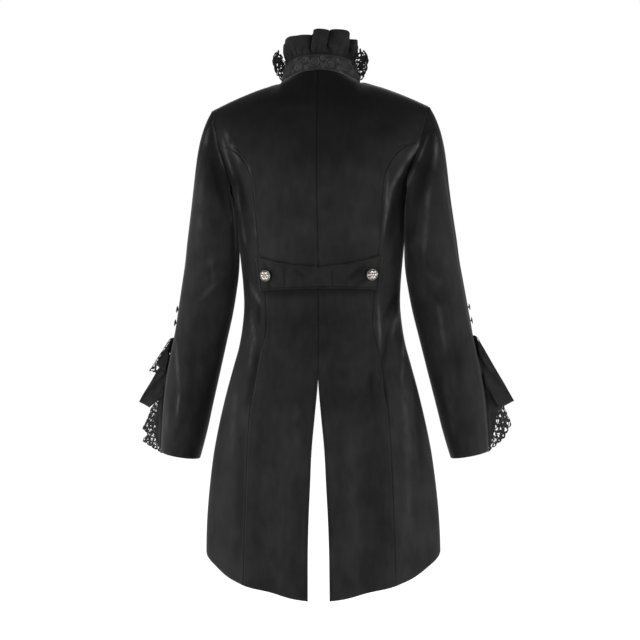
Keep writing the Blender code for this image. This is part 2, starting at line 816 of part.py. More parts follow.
def frill_row(angles, share):
    """A row of the lace frill: share is 0 at its root by the collar's top and 1 at its edge."""
    phase = 2 * math.pi * FRILL_WAVES * (angles - FRILL_START) / (FRILL_END - FRILL_START)
    spread = FRILL_WIDTH * share * (0.85 + 0.15 * np.cos(2 * phase))
    row = collar_point(angles, np.full(len(angles), 0.93))
    row += level_outward(angles) * (FRILL_ROOT + spread)[..., None]
    row[:, 2] += FRILL_SWING * np.sin(phase) * share**1.2 + 0.003 * share
    return row


def make_frills(materials):
    count = FRILL_WAVES * FRILL_SAMPLES
    angles = np.linspace(FRILL_START, FRILL_END, count + 1)
    points = np.array([frill_row(angles, s) for s in FRILL_ROWS])
    points[-1, 1::2] += (points[-1, 1::2] - points[-2, 1::2]) * 0.3
    holes = [(r, c) for r, first in ((1, 1), (2, 3)) for c in range(first, count - 1, 4)]
    for side, word in ((1, "right"), (-1, "left")):
        cloth(
            f"collar_lace_{word}", points, grid_normals(points), LACE, materials["lace"], side, holes
        )


# The tiers that fall out of each cuff's slit. Each one is sewn behind the slit's back edge, and
# these are the heights between which it is sewn.
TIERS = {
    "upper": {"right": (-0.459, -0.476), "left": (-0.459, -0.487)},
    "middle": {"right": (-0.469, -0.528), "left": (-0.486, -0.552)},
    "lower": {"right": (-0.516, -0.658), "left": (-0.544, -0.658)},
}

# How deep a tier's first columns lie behind the tier above, how far forward it stands at the slit
# and for each metre out from there, and the depth of its folds for each metre out.
TIER_SHAPE = {
    "upper": (0.0, -0.0015, 0.20, 0.04),
    "middle": (0.0036, 0.0030, 0.36, 0.07),
    "lower": (0.0034, 0.0062, 0.55, 0.08),
}
UNDER_COLUMNS = (3.0, 6.0)
UNDER_CELLS = 60.0

# The outlines of the tiers' loose edges, with straight runs from the front and top to the back
# and bottom, and how much of the width there is lace. Marks count the tier's columns.
HEMS = {
    "upper_right": [(0, 0.2730, -0.4530, 0.005), (4, 0.2790, -0.4610, 0.008),
                    (9, 0.2900, -0.4860, 0.008), (12, 0.2810, -0.4930, 0.005)],
    "upper_left": [(0, 0.2750, -0.4530, 0.010), (8, 0.3144, -0.5117, 0.018),
                   (12, 0.2850, -0.5190, 0.009)],
    "middle_right": [(0, 0.2790, -0.4620, 0), (7, 0.3400, -0.5688, 0), (9, 0.3143, -0.5820, 0),
                     (12, 0.2900, -0.5420, 0)],
    "middle_left": [(0, 0.2880, -0.4920, 0), (7, 0.3368, -0.5677, 0), (9, 0.3167, -0.5777, 0),
                    (12, 0.2891, -0.5560, 0)],
    "lower_right": [(0, 0.3000, -0.5400, 0.012), (3, 0.3244, -0.5830, 0.022),
                    (5, 0.3354, -0.6114, 0.032), (8, 0.3227, -0.6363, 0.034),
                    (10, 0.3049, -0.6505, 0.028), (12, 0.2910, -0.6610, 0.018)],
    "lower_left": [(0, 0.2980, -0.5580, 0.008), (3, 0.3149, -0.5786, 0.017),
                   (6, 0.3326, -0.6184, 0.029), (7, 0.3246, -0.6256, 0.028),
                   (8, 0.3348, -0.6401, 0.033), (10, 0.3170, -0.6500, 0.028),
                   (12, 0.2930, -0.6620, 0.018)],
}
TIER_COLUMNS = 12
TIER_WAVES = 3.0
TUCK = (0.30, -0.10, -0.26)
WIDEST_LACE = 0.62


def hem_point(tier, word, mark):
    """The loose edge's X and Z, and the width of its lace, at a mark along a tier."""
    marks, *columns = np.array(HEMS[f"{tier}_{word}"], float).T
    x, z, lace = (np.interp(mark, marks, column) for column in columns)
    return np.array([x, z]), lace


def slit_edge(grid, normals, z, beyond, out):
    """A point by the slit's back edge: a share of a cell beyond it, and off the wall's middle."""
    first = len(CAP_ROWS) + len(ARM_ROWS) - 1
    levels = np.array(ARM_ROWS[-1:] + CUFF_ROWS)
    i = int(np.clip(np.searchsorted(-levels, -z) - 1, 0, len(levels) - 2))
    t = (z - levels[i]) / (levels[i + 1] - levels[i])
    low, high = grid[first + i], grid[first + i + 1]
    edge = low[0] + (high[0] - low[0]) * t
    next_column = low[1] + (high[1] - low[1]) * t
    facing = unit(normals[first + i, 0] * (1 - t) + normals[first + i + 1, 0] * t)
    return edge + (next_column - edge) * beyond + facing * out


def tier_grid(tier, word, grids, normals):
    """Points of a tier of cloth, from its sewn edge to its hem, and of the lace beyond the hem."""
    start, end = TIERS[tier][word]
    under, forward, slant, fold = TIER_SHAPE[tier]
    tucked = VELVET / 2 + RUFFLE_CLOTH / 2 + GAP
    cloth_columns, lace_columns = [], []
    for mark in range(TIER_COLUMNS + 1):
        share = mark / TIER_COLUMNS
        z = start + (end - start) * share
        sleeve = grids["sleeve_back"], normals["sleeve_back"]
        deep = under * (1 - float(ease((mark - UNDER_COLUMNS[0]) / UNDER_COLUMNS[1])))
        sewn = [
            slit_edge(*sleeve, z, TUCK[0], -tucked - deep),
            slit_edge(*sleeve, z, TUCK[1] - UNDER_CELLS * deep, -tucked - deep),
            slit_edge(*sleeve, z, TUCK[2] - UNDER_CELLS * deep, 0.0012 - deep),
        ]
        tip, lace = hem_point(tier, word, mark)
        root = sewn[-1][[0, 2]]
        width = np.linalg.norm(tip - root)
        lace = min(lace, WIDEST_LACE * width)
        wave = math.cos(2 * math.pi * TIER_WAVES * share)

        def place(reach):
            x, low = root + (tip - root) * reach / width
            side = slit_edge(*sleeve, low - 0.0065, 0.0, 0.0)
            out = max(x - side[0], 0.0)
            y = side[1] + forward + slant * out + fold * out * wave
            blend = float(ease(reach / 0.006))
            return np.array([x, sewn[-1][1] * (1 - blend) + y * blend, low])

        body = width - lace
        cloth_columns.append(sewn + [place(body * f) for f in (0.18, 0.42, 0.70, 1.0)])
        lace_columns.append([place(body + (width - body) * f) for f in (0.0, 0.25, 0.5, 0.72, 1.0)])
    return np.array(cloth_columns).swapaxes(0, 1), np.array(lace_columns).swapaxes(0, 1)


def make_cuff_tiers(grids, normals, materials):
    for tier in TIERS:
        for side, word in ((1, "right"), (-1, "left")):
            sheet, edging = tier_grid(tier, word, grids, normals)
            laced = tier != "middle"
            whole = np.concatenate([sheet, edging[1:]]) if laced else sheet
            facing = grid_normals(whole)
            cloth(
                f"cuff_ruffle_{tier}_{word}", sheet, facing[: len(sheet)], RUFFLE_CLOTH,
                materials["ruffle_cloth"], side, (), ("last_row",) if laced else (),
            )
            if not laced:
                continue
            fine, fine_facing = edging, facing[len(sheet) - 1 :]
            if tier == "lower":
                fine = np.array([between(row) for row in edging])
                fine_facing = unit(np.array([between(row) for row in fine_facing]))
            fine[-1, 1::2] += (fine[-1, 1::2] - fine[-2, 1::2]) * 0.25
            starts = ((1, 1), (2, 3)) if tier == "lower" else ((1, 1), (1, 3))
            holes = [(r, c) for r, first in starts for c in range(first, fine.shape[1] - 2, 4)]
            cloth(
                f"cuff_lace_{tier}_{word}", fine, fine_facing, LACE, materials["lace"], side, holes,
                ("first_row",),
            )


# The half belt across the back of the waist: half its length at the bottom and at the top, and the
# heights of its edges at distances from the middle.
BELT_HALF = (0.1010, 0.1085)
BELT = Table(
    "x top bottom",
    [
        (0.000, -0.3300, -0.3680),
        (0.045, -0.3262, -0.3684),
        (0.085, -0.3170, -0.3700),
        (0.104, -0.3110, -0.3712),
        (0.1125, -0.3150, -0.3690),
    ],
)
BELT_LIFT = VELVET + GAP + 0.0004
BELT_STAND = 0.0025
BELT_MARKS = (0.0, 0.14, 0.28, 0.42, 0.56, 0.68, 0.79, 0.87, 0.94, 1.0)
BELT_BUTTON_X = 0.0905
BELT_BUTTON_Z = -0.3440


def belt_grid(grids):
    """Middle of the half belt, moved out from the points of the panels that it lies on."""
    under = np.concatenate([grid_triangles(grids["back"]), grid_triangles(grids["side_back"])])
    marks = np.array([-m for m in reversed(BELT_MARKS[1:])] + list(BELT_MARKS))
    rows = []
    for share in (0.0, 0.33, 0.66, 1.0):
        half = BELT_HALF[0] * (1 - share) + BELT_HALF[1] * share
        row = []
        for x in marks * half:
            z = BELT("bottom", abs(x)) * (1 - share) + BELT("top", abs(x)) * share
            start = np.array([max(abs(x), 1e-5), -1.0, z])
            place, facing = first_hit(under, start, np.array([0.0, 1.0, 0.0]))
            stand = BELT_STAND * (1 - (x / half) ** 2) * (1 - 0.5 * share)
            place = place + facing * (BELT_LIFT + stand)
            row.append(place * np.array([np.sign(x) if x else 0.0, 1.0, 1.0]))
        rows.append(row)
    return np.array(rows)


# Shank buttons, from the foot of the shank to the middle of the face, as shares of the radius.
BUTTON_PROFILE = (
    (0.00, 0.00),
    (0.30, 0.00),
    (0.30, 0.22),
    (1.00, 0.34),
    (1.00, 0.46),
    (0.80, 0.58),
    (0.00, 0.68),
)
BUTTON_SIDES = 12


def make_button(name, place, outward, radius, material):
    """A turned button that stands on the cloth at a place and faces outward."""
    points, faces, rings = [], [], []
    for share, height in BUTTON_PROFILE:
        sides = BUTTON_SIDES if share else 1
        rings.append([len(points) + i for i in range(sides)])
        for i in range(sides):
            turn = 2 * math.pi * i / BUTTON_SIDES
            points.append(
                (share * radius * math.cos(turn), share * radius * math.sin(turn), height * radius)
            )
    for low, high in zip(rings, rings[1:]):
        for i in range(BUTTON_SIDES):
            j = (i + 1) % BUTTON_SIDES
            if len(low) == 1:
                faces.append((low[0], high[j], high[i]))
            elif len(high) == 1:
                faces.append((low[i], low[j], high[0]))
            else:
                faces.append((low[i], low[j], high[j], high[i]))
    piece = new_object(name, points, faces, material, 35.0)
    piece.location = Vector(place) + Vector(outward) * GAP
    piece.rotation_mode = "QUATERNION"
    piece.rotation_quaternion = Vector(outward).to_track_quat("Z", "Y")
    return piece


BELT_BUTTON_RADIUS = 0.0103
FRONT_BUTTON_RADIUS = 0.0085
CUFF_BUTTON_RADIUS = 0.0060
FRONT_BUTTON_TOP_Z = -0.088
FRONT_BUTTON_STEP = 0.075
FRONT_BUTTONS = 5
CUFF_BUTTON_Z = (-0.4015, -0.4255)


def make_buttons(grids, normals, belt, materials):
    metal = materials["metal"]
    belt_triangles = grid_triangles(belt)
    sleeve = np.concatenate(
        [grid_triangles(grids["sleeve_back"]), grid_triangles(grids["sleeve_front"])]
    )
    for side, word in ((1, "right"), (-1, "left")):
        mirror = np.array([side, 1, 1])
        start = np.array([side * BELT_BUTTON_X, -1.0, BELT_BUTTON_Z])
        place, outward = first_hit(belt_triangles, start, np.array([0.0, 1.0, 0.0]))
        place = place + outward * VELVET / 2
        make_button(f"belt_button_{word}", place, outward, BELT_BUTTON_RADIUS, metal)
        for number, z in enumerate(CUFF_BUTTON_Z, 1):
            start = np.array([1.0, SLEEVE("y", z), z])
            place, outward = first_hit(sleeve, start, np.array([-1.0, 0.0, 0.0]))
            place = (place + outward * (VELVET / 2 + GAP)) * mirror
            name = f"cuff_button_{number}_{word}"
            make_button(name, place, outward * mirror, CUFF_BUTTON_RADIUS, metal)
    over = grid_triangles(lapped(grids["front"], normals["front"], 1))
    for number in range(FRONT_BUTTONS):
        start = np.array([0.0005, 1.0, FRONT_BUTTON_TOP_Z - FRONT_BUTTON_STEP * number])
        place, outward = first_hit(over, start, np.array([0.0, -1.0, 0.0]))
        place = place + outward * VELVET / 2
        make_button(f"front_button_{number + 1}", place, outward, FRONT_BUTTON_RADIUS, metal)


def main():
    for piece in list(bpy.data.objects):
        bpy.data.objects.remove(piece)
    materials = {
        "velvet": new_material("velvet", (0.010, 0.010, 0.011), 0.85),
        "brocade": new_material("brocade", (0.030, 0.030, 0.032), 0.55),
        "ruffle_cloth": new_material("ruffle_cloth", (0.014, 0.014, 0.015), 0.6),
        "lace": new_material("lace", (0.012, 0.012, 0.012), 0.7),
        "metal": new_material("metal", (0.62, 0.58, 0.52), 0.3, 1.0),
    }
    grids, normals = body_grids()
    make_body(grids, normals, materials)
    make_neck_ruffle(materials)
    make_frills(materials)
    make_cuff_tiers(grids, normals, materials)
    belt = belt_grid(grids)
    cloth("half_belt", belt, grid_normals(belt), VELVET, materials["velvet"])
    make_buttons(grids, normals, belt, materials)
    coat = bpy.data.objects.new("tailcoat", None)
    bpy.context.scene.collection.objects.link(coat)
    for piece in list(bpy.context.scene.objects):
        if piece is not coat:
            piece.parent = coat


main()
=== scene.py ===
"""The looks of the tailcoat: napped velvet, brocade, pleated ruffles, cut lace and cast buttons.

Metres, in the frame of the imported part: +Z up, +Y the way the wearer faces, +X the wearer's right.
"""

import math

import bpy
import numpy as np
from mathutils import Euler, Matrix, Vector


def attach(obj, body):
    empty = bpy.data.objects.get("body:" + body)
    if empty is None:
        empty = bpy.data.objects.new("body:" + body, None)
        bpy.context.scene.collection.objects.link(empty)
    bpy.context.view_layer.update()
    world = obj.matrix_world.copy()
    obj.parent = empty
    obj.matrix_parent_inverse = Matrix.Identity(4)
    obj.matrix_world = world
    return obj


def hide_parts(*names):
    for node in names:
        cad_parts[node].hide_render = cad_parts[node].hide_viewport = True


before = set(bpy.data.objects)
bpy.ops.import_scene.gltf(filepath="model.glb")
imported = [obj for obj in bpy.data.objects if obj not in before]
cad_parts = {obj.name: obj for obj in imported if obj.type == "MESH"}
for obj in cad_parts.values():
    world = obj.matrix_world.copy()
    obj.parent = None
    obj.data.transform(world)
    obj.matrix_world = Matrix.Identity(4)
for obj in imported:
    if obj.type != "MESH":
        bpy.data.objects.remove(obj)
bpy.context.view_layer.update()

# Thickness of each cloth wall, and the gap that parts two pieces at a seam or in a layer.
VELVET = 0.0018
RUFFLE_CLOTH = 0.0012
LACE = 0.0010
GAP = 0.0003

# Levels of the body, from the neck down.
SHOULDER_Z = -0.047
PRINCESS_TOP_Z = -0.114
UNDERARM_Z = -0.200
WAIST_Z = -0.395

# Half widths of the neck and of the shoulders, and where the neck ring lies.
NECK_HALF = 0.0705
SHOULDER_HALF = 0.193
NECK_Y = 0.010
NECK_BACK = 0.060
NECK_FRONT = 0.062
SHOULDER_CURVE = 1.33
SHOULDER_BEND = 2.8
SHOULDER_SPREAD = 0.13
NECK_BEND_REACH = 0.075

# The body's sections are superellipses of this power.
ROUNDNESS = 2.4

# The front overlaps by this much past the centre line, each side stepping in or out.
LAP = 0.015
LAP_STEP = (VELVET + 2 * GAP) / 2

BUST_X = 0.085
BUST_Z = -0.250
BUST_LIFT = 0.010
BUST_SPREAD = 0.052

FLUTE_DEPTH = 0.005
FLUTES = 5.0
FLUTE_TOP_Z = -0.44
FLUTE_FULL_Z = -0.72


class Table:
    """Rows of named columns, rising in the first one, read along a smooth curve."""

    def __init__(self, columns, rows):
        self.columns = columns.split()
        self.rows = np.array(rows, float)

    def __call__(self, column, at):
        x = self.rows[:, 0]
        y = self.rows[:, self.columns.index(column)]
        steps = np.diff(x)
        chords = np.diff(y) / steps
        same_way = chords[:-1] * chords[1:] > 0
        total = np.where(same_way, chords[:-1] + chords[1:], 1.0)
        inner = np.where(same_way, 2 * chords[:-1] * chords[1:] / total, 0.0)
        slopes = np.concatenate([chords[:1], inner, chords[-1:]])
        at = np.clip(at, x[0], x[-1])
        i = np.clip(np.searchsorted(x, at, side="right") - 1, 0, len(steps) - 1)
        t = (at - x[i]) / steps[i]
        rise = t * t * (3 - 2 * t)
        start = t * (1 - t) ** 2 * steps[i] * slopes[i]
        end = t * t * (t - 1) * steps[i] * slopes[i + 1]
        return y[i] * (1 - rise) + y[i + 1] * rise + start + end


# Height of the neck seam round half the neck, from the nape at 0 to the throat at 180 degrees.
NECK_SEAM = Table(
    "angle z",
    [
        (0.0, 0.0155),
        (22.5, 0.0130),
        (45.0, 0.0067),
        (67.5, 0.0014),
        (90.0, 0.0000),
        (112.5, -0.0080),
        (135.0, -0.0240),
        (157.5, -0.0450),
        (180.0, -0.0620),
    ],
)

# Half width of the body, and how far its back and front stand from the middle. Above the
# underarm these are wider than the cloth, which the armhole cuts.
BODY = Table(
    "z half_width back front",
    [
        (-0.940, 0.2050, 0.142, 0.108),
        (-0.800, 0.2030, 0.137, 0.110),
        (-0.690, 0.1940, 0.132, 0.112),
        (-0.600, 0.1795, 0.126, 0.113),
        (-0.529, 0.1635, 0.114, 0.110),
        (-0.457, 0.1450, 0.095, 0.104),
        (-0.395, 0.1380, 0.082, 0.098),
        (-0.280, 0.1470, 0.096, 0.118),
        (-0.200, 0.1560, 0.104, 0.114),
        (-0.150, 0.1800, 0.103, 0.100),
        (-0.110, 0.1950, 0.100, 0.090),
        (-0.047, 0.2050, 0.094, 0.080),
        (0.020, 0.2100, 0.090, 0.075),
    ],
)

# Distance of the armhole's edge from the middle.
ARMHOLE = Table(
    "z back front",
    [
        (-0.200, 0.1560, 0.1560),
        (-0.190, 0.1565, 0.1550),
        (-0.176, 0.1590, 0.1560),
        (-0.137, 0.1690, 0.1630),
        (-0.114, 0.1760, 0.1690),
        (-0.085, 0.1840, 0.1780),
        (-0.047, 0.1930, 0.1930),
    ],
)

# Distance of the princess seams from the middle.
PRINCESS = Table(
    "z back front",
    [
        (-0.940, 0.1280, 0.140),
        (-0.800, 0.1250, 0.130),
        (-0.600, 0.1180, 0.112),
        (-0.549, 0.1135, 0.101),
        (-0.508, 0.1076, 0.092),
        (-0.463, 0.0980, 0.081),
        (-0.437, 0.0915, 0.077),
        (-0.377, 0.0940, 0.074),
        (-0.305, 0.1035, 0.083),
        (-0.216, 0.1095, 0.096),
        (-0.173, 0.1150, 0.105),
        (-0.144, 0.1290, 0.118),
        (-0.127, 0.1450, 0.135),
        (-0.119, 0.1600, 0.151),
        (-0.114, 0.1760, 0.169),
    ],
)

# Height of the hem round half the coat, from the centre back at 0 to the centre front at 1.
HEM = Table(
    "share z",
    [
        (0.000, -0.896),
        (0.125, -0.886),
        (0.250, -0.873),
        (0.375, -0.851),
        (0.440, -0.832),
        (0.500, -0.806),
        (0.620, -0.735),
        (0.750, -0.620),
        (0.880, -0.512),
        (1.000, -0.462),
    ],
)

# Half the width of the open vent between the tails.
VENT = Table(
    "z half_gap",
    [
        (-0.940, 0.0187),
        (-0.794, 0.0177),
        (-0.726, 0.0144),
        (-0.659, 0.0118),
        (-0.591, 0.0059),
        (-0.5239, 0.0000),
        (0.020, 0.0000),
    ],
)

# Rows of a panel: shares of the way from waist to hem, heights from the waist up to the top of
# the princess seam, and shares of the way from there to the top edge.
SKIRT_SHARES = (1.0, 0.93, 0.84, 0.73, 0.61, 0.49, 0.37, 0.253, 0.17, 0.085)
WAIST_TO_CHEST = (-0.395, -0.345, -0.290, -0.240, -0.200, -0.172, -0.150, -0.134, -0.123)
TOP_SHARES = (0.0, 0.27, 0.52, 0.74, 0.91, 1.0)

BACK_NECK_ANGLES = (0.0, 22.5, 45.0, 67.5, 90.0)
FRONT_NECK_ANGLES = (157.5, 135.0, 112.5, 90.0)
SHOULDER_COLUMNS = 4
SIDE_COLUMNS = 4

# Below this height the columns of a side panel are evenly spread, and above it they turn towards
# the corners of the armhole.
EVEN_SIDE_Z = -0.28


def ease(t):
    """0 below 0, 1 above 1, and a smooth step between."""
    t = np.clip(t, 0.0, 1.0)
    return t * t * (3.0 - 2.0 * t)


def unit(vectors):
    """Vectors of a grid made one long."""
    return vectors / np.maximum(np.linalg.norm(vectors, axis=-1, keepdims=True), 1e-12)


def neck_point(angle):
    """A point of the neck ring, whose angle is 0 at the nape and 180 degrees at the throat."""
    turn = np.radians(angle)
    reach = np.where(np.cos(turn) > 0, NECK_BACK, NECK_FRONT)
    z = NECK_SEAM("z", angle)
    return np.stack([NECK_HALF * np.sin(turn), NECK_Y - reach * np.cos(turn), z], axis=-1)


def top_edge(face, reach):
    """Depth and height of the neckline or shoulder seam, and the power of the bend up to it."""
    within = np.degrees(np.arcsin(np.clip(reach / NECK_HALF, 0.0, 1.0)))
    neck = neck_point(within if face == "back" else 180.0 - within)
    out = np.clip((reach - NECK_HALF) / (SHOULDER_HALF - NECK_HALF), 0.0, 1.0)
    y = np.where(reach < NECK_HALF, neck[..., 1], NECK_Y * (1 - out))
    z = np.where(reach < NECK_HALF, neck[..., 2], SHOULDER_Z * out**SHOULDER_CURVE)
    return y, z, 1.0 - 0.5 * ease(reach / NECK_BEND_REACH)


def soft_edge_y(face, reach):
    """Depth that the neckline or shoulder seam lends to the cloth well below it."""
    middle = NECK_Y + NECK_FRONT if face == "front" else NECK_Y - NECK_BACK
    return middle * (1.0 - ease(reach / SHOULDER_SPREAD))


def body_y(face, x, z):
    """Depth of the coat's back or front at a place seen from behind."""
    reach = np.abs(x)
    share = np.minimum(reach / BODY("half_width", z), 1.0)
    depth = BODY(face, z) * (1.0 - share**ROUNDNESS) ** (1.0 / ROUNDNESS)
    if face == "front":
        away = ((reach - BUST_X) / BUST_SPREAD) ** 2 + ((z - BUST_Z) / BUST_SPREAD) ** 2
        depth = depth + BUST_LIFT * np.exp(-away) * (1.0 - share**8)
    edge_y, edge_z, power = top_edge(face, reach)
    rise = np.clip((z - UNDERARM_Z) / (edge_z - UNDERARM_Z), 0.0, 1.0)
    y = depth if face == "front" else -depth
    soft_y = soft_edge_y(face, reach)
    edge_y = soft_y + (edge_y - soft_y) * rise**14
    return edge_y + (y - edge_y) * (1.0 - rise**SHOULDER_BEND) ** power


def armhole_z(angle):
    """Height of the armhole's edge, whose angle is 0 at the shoulder and 180 at the underarm."""
    middle = (SHOULDER_Z + UNDERARM_Z) / 2
    return middle + (SHOULDER_Z - middle) * np.cos(np.radians(angle))


def armhole_point(angle):
    """A point of the armhole's edge: angles to 180 degrees lie on the back, and the rest in front."""
    z = armhole_z(angle)
    face = "back" if angle <= 180.0 else "front"
    x = ARMHOLE(face, z)
    return np.array([x, body_y(face, x, z), z])


def centre_columns(face):
    """Distances from the middle of the top ends of a centre panel's columns."""
    if face == "back":
        neck = [NECK_HALF * math.sin(math.radians(a)) for a in BACK_NECK_ANGLES]
    else:
        neck = [NECK_HALF * math.sin(math.radians(a)) for a in FRONT_NECK_ANGLES]
        neck = [-LAP, 0.0, LAP] + neck
    shoulder = np.linspace(NECK_HALF, SHOULDER_HALF, SHOULDER_COLUMNS + 1)[1:]
    return np.array(neck + list(shoulder))


def hem_z(face, share):
    """Height of the hem on a panel: share is 0 at the middle of that face and 1 at the side seam."""
    return HEM("z", share / 2 if face == "back" else 1.0 - share / 2)


def turn_of(x, z):
    """Angle round a section, 0 in the middle and a quarter turn at the side."""
    share = np.clip(np.abs(x) / BODY("half_width", z), 0.0, 1.0)
    return np.arcsin(share ** (ROUNDNESS / 2))


def fluted(face, share, points):
    """The points moved out by the soft upright waves of the skirt."""
    girth = share / 2 if face == "back" else 1.0 - share / 2
    z = points[..., 2]
    grown = ease((FLUTE_TOP_Z - z) / (FLUTE_TOP_Z - FLUTE_FULL_Z))
    lift = FLUTE_DEPTH * grown * np.sin(2 * math.pi * FLUTES * girth)
    turn = turn_of(points[..., 0], z)
    ahead = 1.0 if face == "front" else -1.0
    out = np.stack([np.sin(turn), ahead * np.cos(turn), np.zeros_like(turn)], axis=-1)
    return points + lift[..., None] * out


def centre_panel(face):
    """Middle of the wall from the centre line to the princess seam, armhole and shoulder."""
    start = -LAP if face == "front" else 0.0
    tops = centre_columns(face)
    top_share = (tops - start) / (SHOULDER_HALF - start)
    even_share = np.linspace(0.0, 1.0, len(tops))
    if face == "front":
        even_share[:3] = top_share[:3] * 1.6
    rows = []
    levels = [("skirt", f) for f in SKIRT_SHARES] + [("body", z) for z in WAIST_TO_CHEST]
    for kind, value in levels + [("top", f) for f in TOP_SHARES]:
        if kind == "skirt":
            z = WAIST_Z + (hem_z(face, even_share / 2) - WAIST_Z) * value
        elif kind == "body":
            z = np.full(len(tops), value)
        else:
            top_z = top_edge(face, np.abs(tops))[1]
            z = PRINCESS_TOP_Z + (top_z - PRINCESS_TOP_Z) * value
        spread = ease((z - BUST_Z) / (PRINCESS_TOP_Z - BUST_Z))
        share = even_share * (1 - spread) + top_share * spread
        edge = PRINCESS(face, z) if kind != "top" else ARMHOLE(face, z)
        inner = VENT("half_gap", z) if face == "back" else start
        x = inner + (edge - inner) * share
        row = np.stack([x, body_y(face, x, z), z], axis=-1)
        rows.append(fluted(face, even_share / 2, row))
    return np.array(rows)


def side_panel(face):
    """Middle of the wall from the princess seam round to the side seam, up to the armhole."""
    shares = np.linspace(0.0, 1.0, SIDE_COLUMNS + 1)
    angle_top = math.degrees(
        math.acos((2 * PRINCESS_TOP_Z - SHOULDER_Z - UNDERARM_Z) / (SHOULDER_Z - UNDERARM_Z))
    )
    arm_angles = angle_top + (180.0 - angle_top) * shares
    top_z = armhole_z(arm_angles)
    top_turn = turn_of(ARMHOLE(face, top_z), top_z)
    top_turn[-1] = math.pi / 2
    rows = []
    chest = list(WAIST_TO_CHEST) + [PRINCESS_TOP_Z]
    for kind, value in [("skirt", f) for f in SKIRT_SHARES] + [("body", z) for z in chest]:
        if kind == "skirt":
            z = WAIST_Z + (hem_z(face, 0.5 + shares / 2) - WAIST_Z) * value
        else:
            z = WAIST_Z + (top_z - WAIST_Z) * (value - WAIST_Z) / (PRINCESS_TOP_Z - WAIST_Z)
        near = turn_of(PRINCESS(face, z), z)
        near_top = turn_of(PRINCESS(face, top_z), top_z)
        plain = near + (math.pi / 2 - near) * shares
        bent = near + (top_turn - near_top)
        turn = plain + (bent - plain) * ease((z - EVEN_SIDE_Z) / (top_z - EVEN_SIDE_Z))
        x = BODY("half_width", z) * np.sin(turn) ** (2 / ROUNDNESS)
        row = np.stack([x, body_y(face, x, z), z], axis=-1)
        rows.append(fluted(face, 0.5 + shares / 2, row))
    return np.array(rows)


# The sleeve below the underarm: centre, half sizes sideways and front to back, and the slope
# of the section, which lifts its outer side.
SLEEVE = Table(
    "z x y half_x half_y slope",
    [
        (-0.663, 0.2610, 0.030, 0.0340, 0.054, 0.20),
        (-0.618, 0.2532, 0.026, 0.0393, 0.054, 0.18),
        (-0.564, 0.2442, 0.020, 0.0433, 0.054, 0.17),
        (-0.511, 0.2331, 0.014, 0.0454, 0.054, 0.16),
        (-0.440, 0.2168, 0.008, 0.0462, 0.055, 0.15),
        (-0.386, 0.2060, 0.003, 0.0480, 0.057, 0.14),
        (-0.315, 0.1950, -0.003, 0.0470, 0.061, 0.13),
        (-0.226, 0.1900, -0.006, 0.0400, 0.066, 0.13),
    ],
)
BICEP_Z = -0.226
SLIT_TOP_Z = -0.447
CAP_ROWS = (0.0, 0.10, 0.24, 0.42, 0.62, 0.82)
ARM_ROWS = (-0.226, -0.258, -0.290, -0.325, -0.365, -0.405, -0.447)
CUFF_ROWS = (-0.470, -0.500, -0.535, -0.570, -0.606, -0.638, -0.663)

# Angles round the sleeve, 0 at its outer side and 90 degrees at the back. The seams run from the
# armhole to the cuff, and the slit opens at the outer one.
HIND_SEAM = Table("z angle", [(-0.447, 3.0), (-0.30, 9.0), (-0.226, 16.0)])
FORE_SEAM = 210.0
SLIT = Table(
    "z back front",
    [(-0.663, 14.0, -48.0), (-0.560, 12.0, -30.0), (-0.480, 8.0, -14.0), (-0.447, 3.0, 3.0)],
)
ARMPIT_SHIFT = VELVET + 2 * GAP
BODY_CLEARANCE = VELVET + 0.0007


def clear_of_body(points):
    """The sleeve's points, where they would touch the side of the body, moved out from it."""
    z = points[..., 2]
    depth = np.where(points[..., 1] < 0, BODY("back", z), BODY("front", z))
    share = np.clip(np.abs(points[..., 1]) / depth, 0.0, 1.0)
    side = BODY("half_width", z) * (1.0 - share**ROUNDNESS) ** (1.0 / ROUNDNESS)
    out = points.copy()
    out[..., 0] = np.maximum(points[..., 0], side + BODY_CLEARANCE)
    return out


def sleeve_ring(z, angle):
    """A point of the sleeve at an angle round it."""
    turn = np.radians(angle)
    out = SLEEVE("half_x", z) * np.cos(turn)
    x = SLEEVE("x", z) + out
    y = SLEEVE("y", z) - SLEEVE("half_y", z) * np.sin(turn)
    return clear_of_body(np.stack([x, y, z + SLEEVE("slope", z) * out], axis=-1))


def cap_point(start, angle, t):
    """A point of the sleeve's cap, part of the way from the armhole to the upper arm."""
    turn = math.radians(angle)
    high = (1 + math.cos(turn)) / 2
    end = sleeve_ring(BICEP_Z, angle)
    length = np.linalg.norm(end - start)
    out = unit(np.array([0.12 + 0.50 * high, -0.22 * math.sin(turn), -1.0]))
    down = unit(sleeve_ring(BICEP_Z - 0.01, angle) - end)
    p1 = start + out * length * 0.33
    p2 = end - down * length * 0.33
    return (
        start * (1 - t) ** 3 + 3 * p1 * t * (1 - t) ** 2 + 3 * p2 * t * t * (1 - t) + end * t**3
    )


def armhole_angles():
    """Angles of the panels' corners round the armhole, from the shoulder to the underarm."""
    top_z = [PRINCESS_TOP_Z + (SHOULDER_Z - PRINCESS_TOP_Z) * f for f in reversed(TOP_SHARES)]
    middle = (SHOULDER_Z + UNDERARM_Z) / 2
    upper = [math.degrees(math.acos((z - middle) / (SHOULDER_Z - middle))) for z in top_z]
    return upper + list(np.linspace(upper[-1], 180.0, SIDE_COLUMNS + 1)[1:])


def seam_angles(part, z):
    """Angles of a sleeve half's two edges at a height."""
    if z < SLIT_TOP_Z:
        back, front = float(SLIT("back", z)), float(SLIT("front", z))
    else:
        back = front = float(HIND_SEAM("angle", z))
    return (back, FORE_SEAM) if part == "back" else (FORE_SEAM, 360.0 + front)


def armpit_shift(angle):
    """How far the sleeve's edge stands out from the armhole's, low down where the walls face."""
    return ARMPIT_SHIFT * ease(-np.cos(np.radians(angle)) / 0.9)


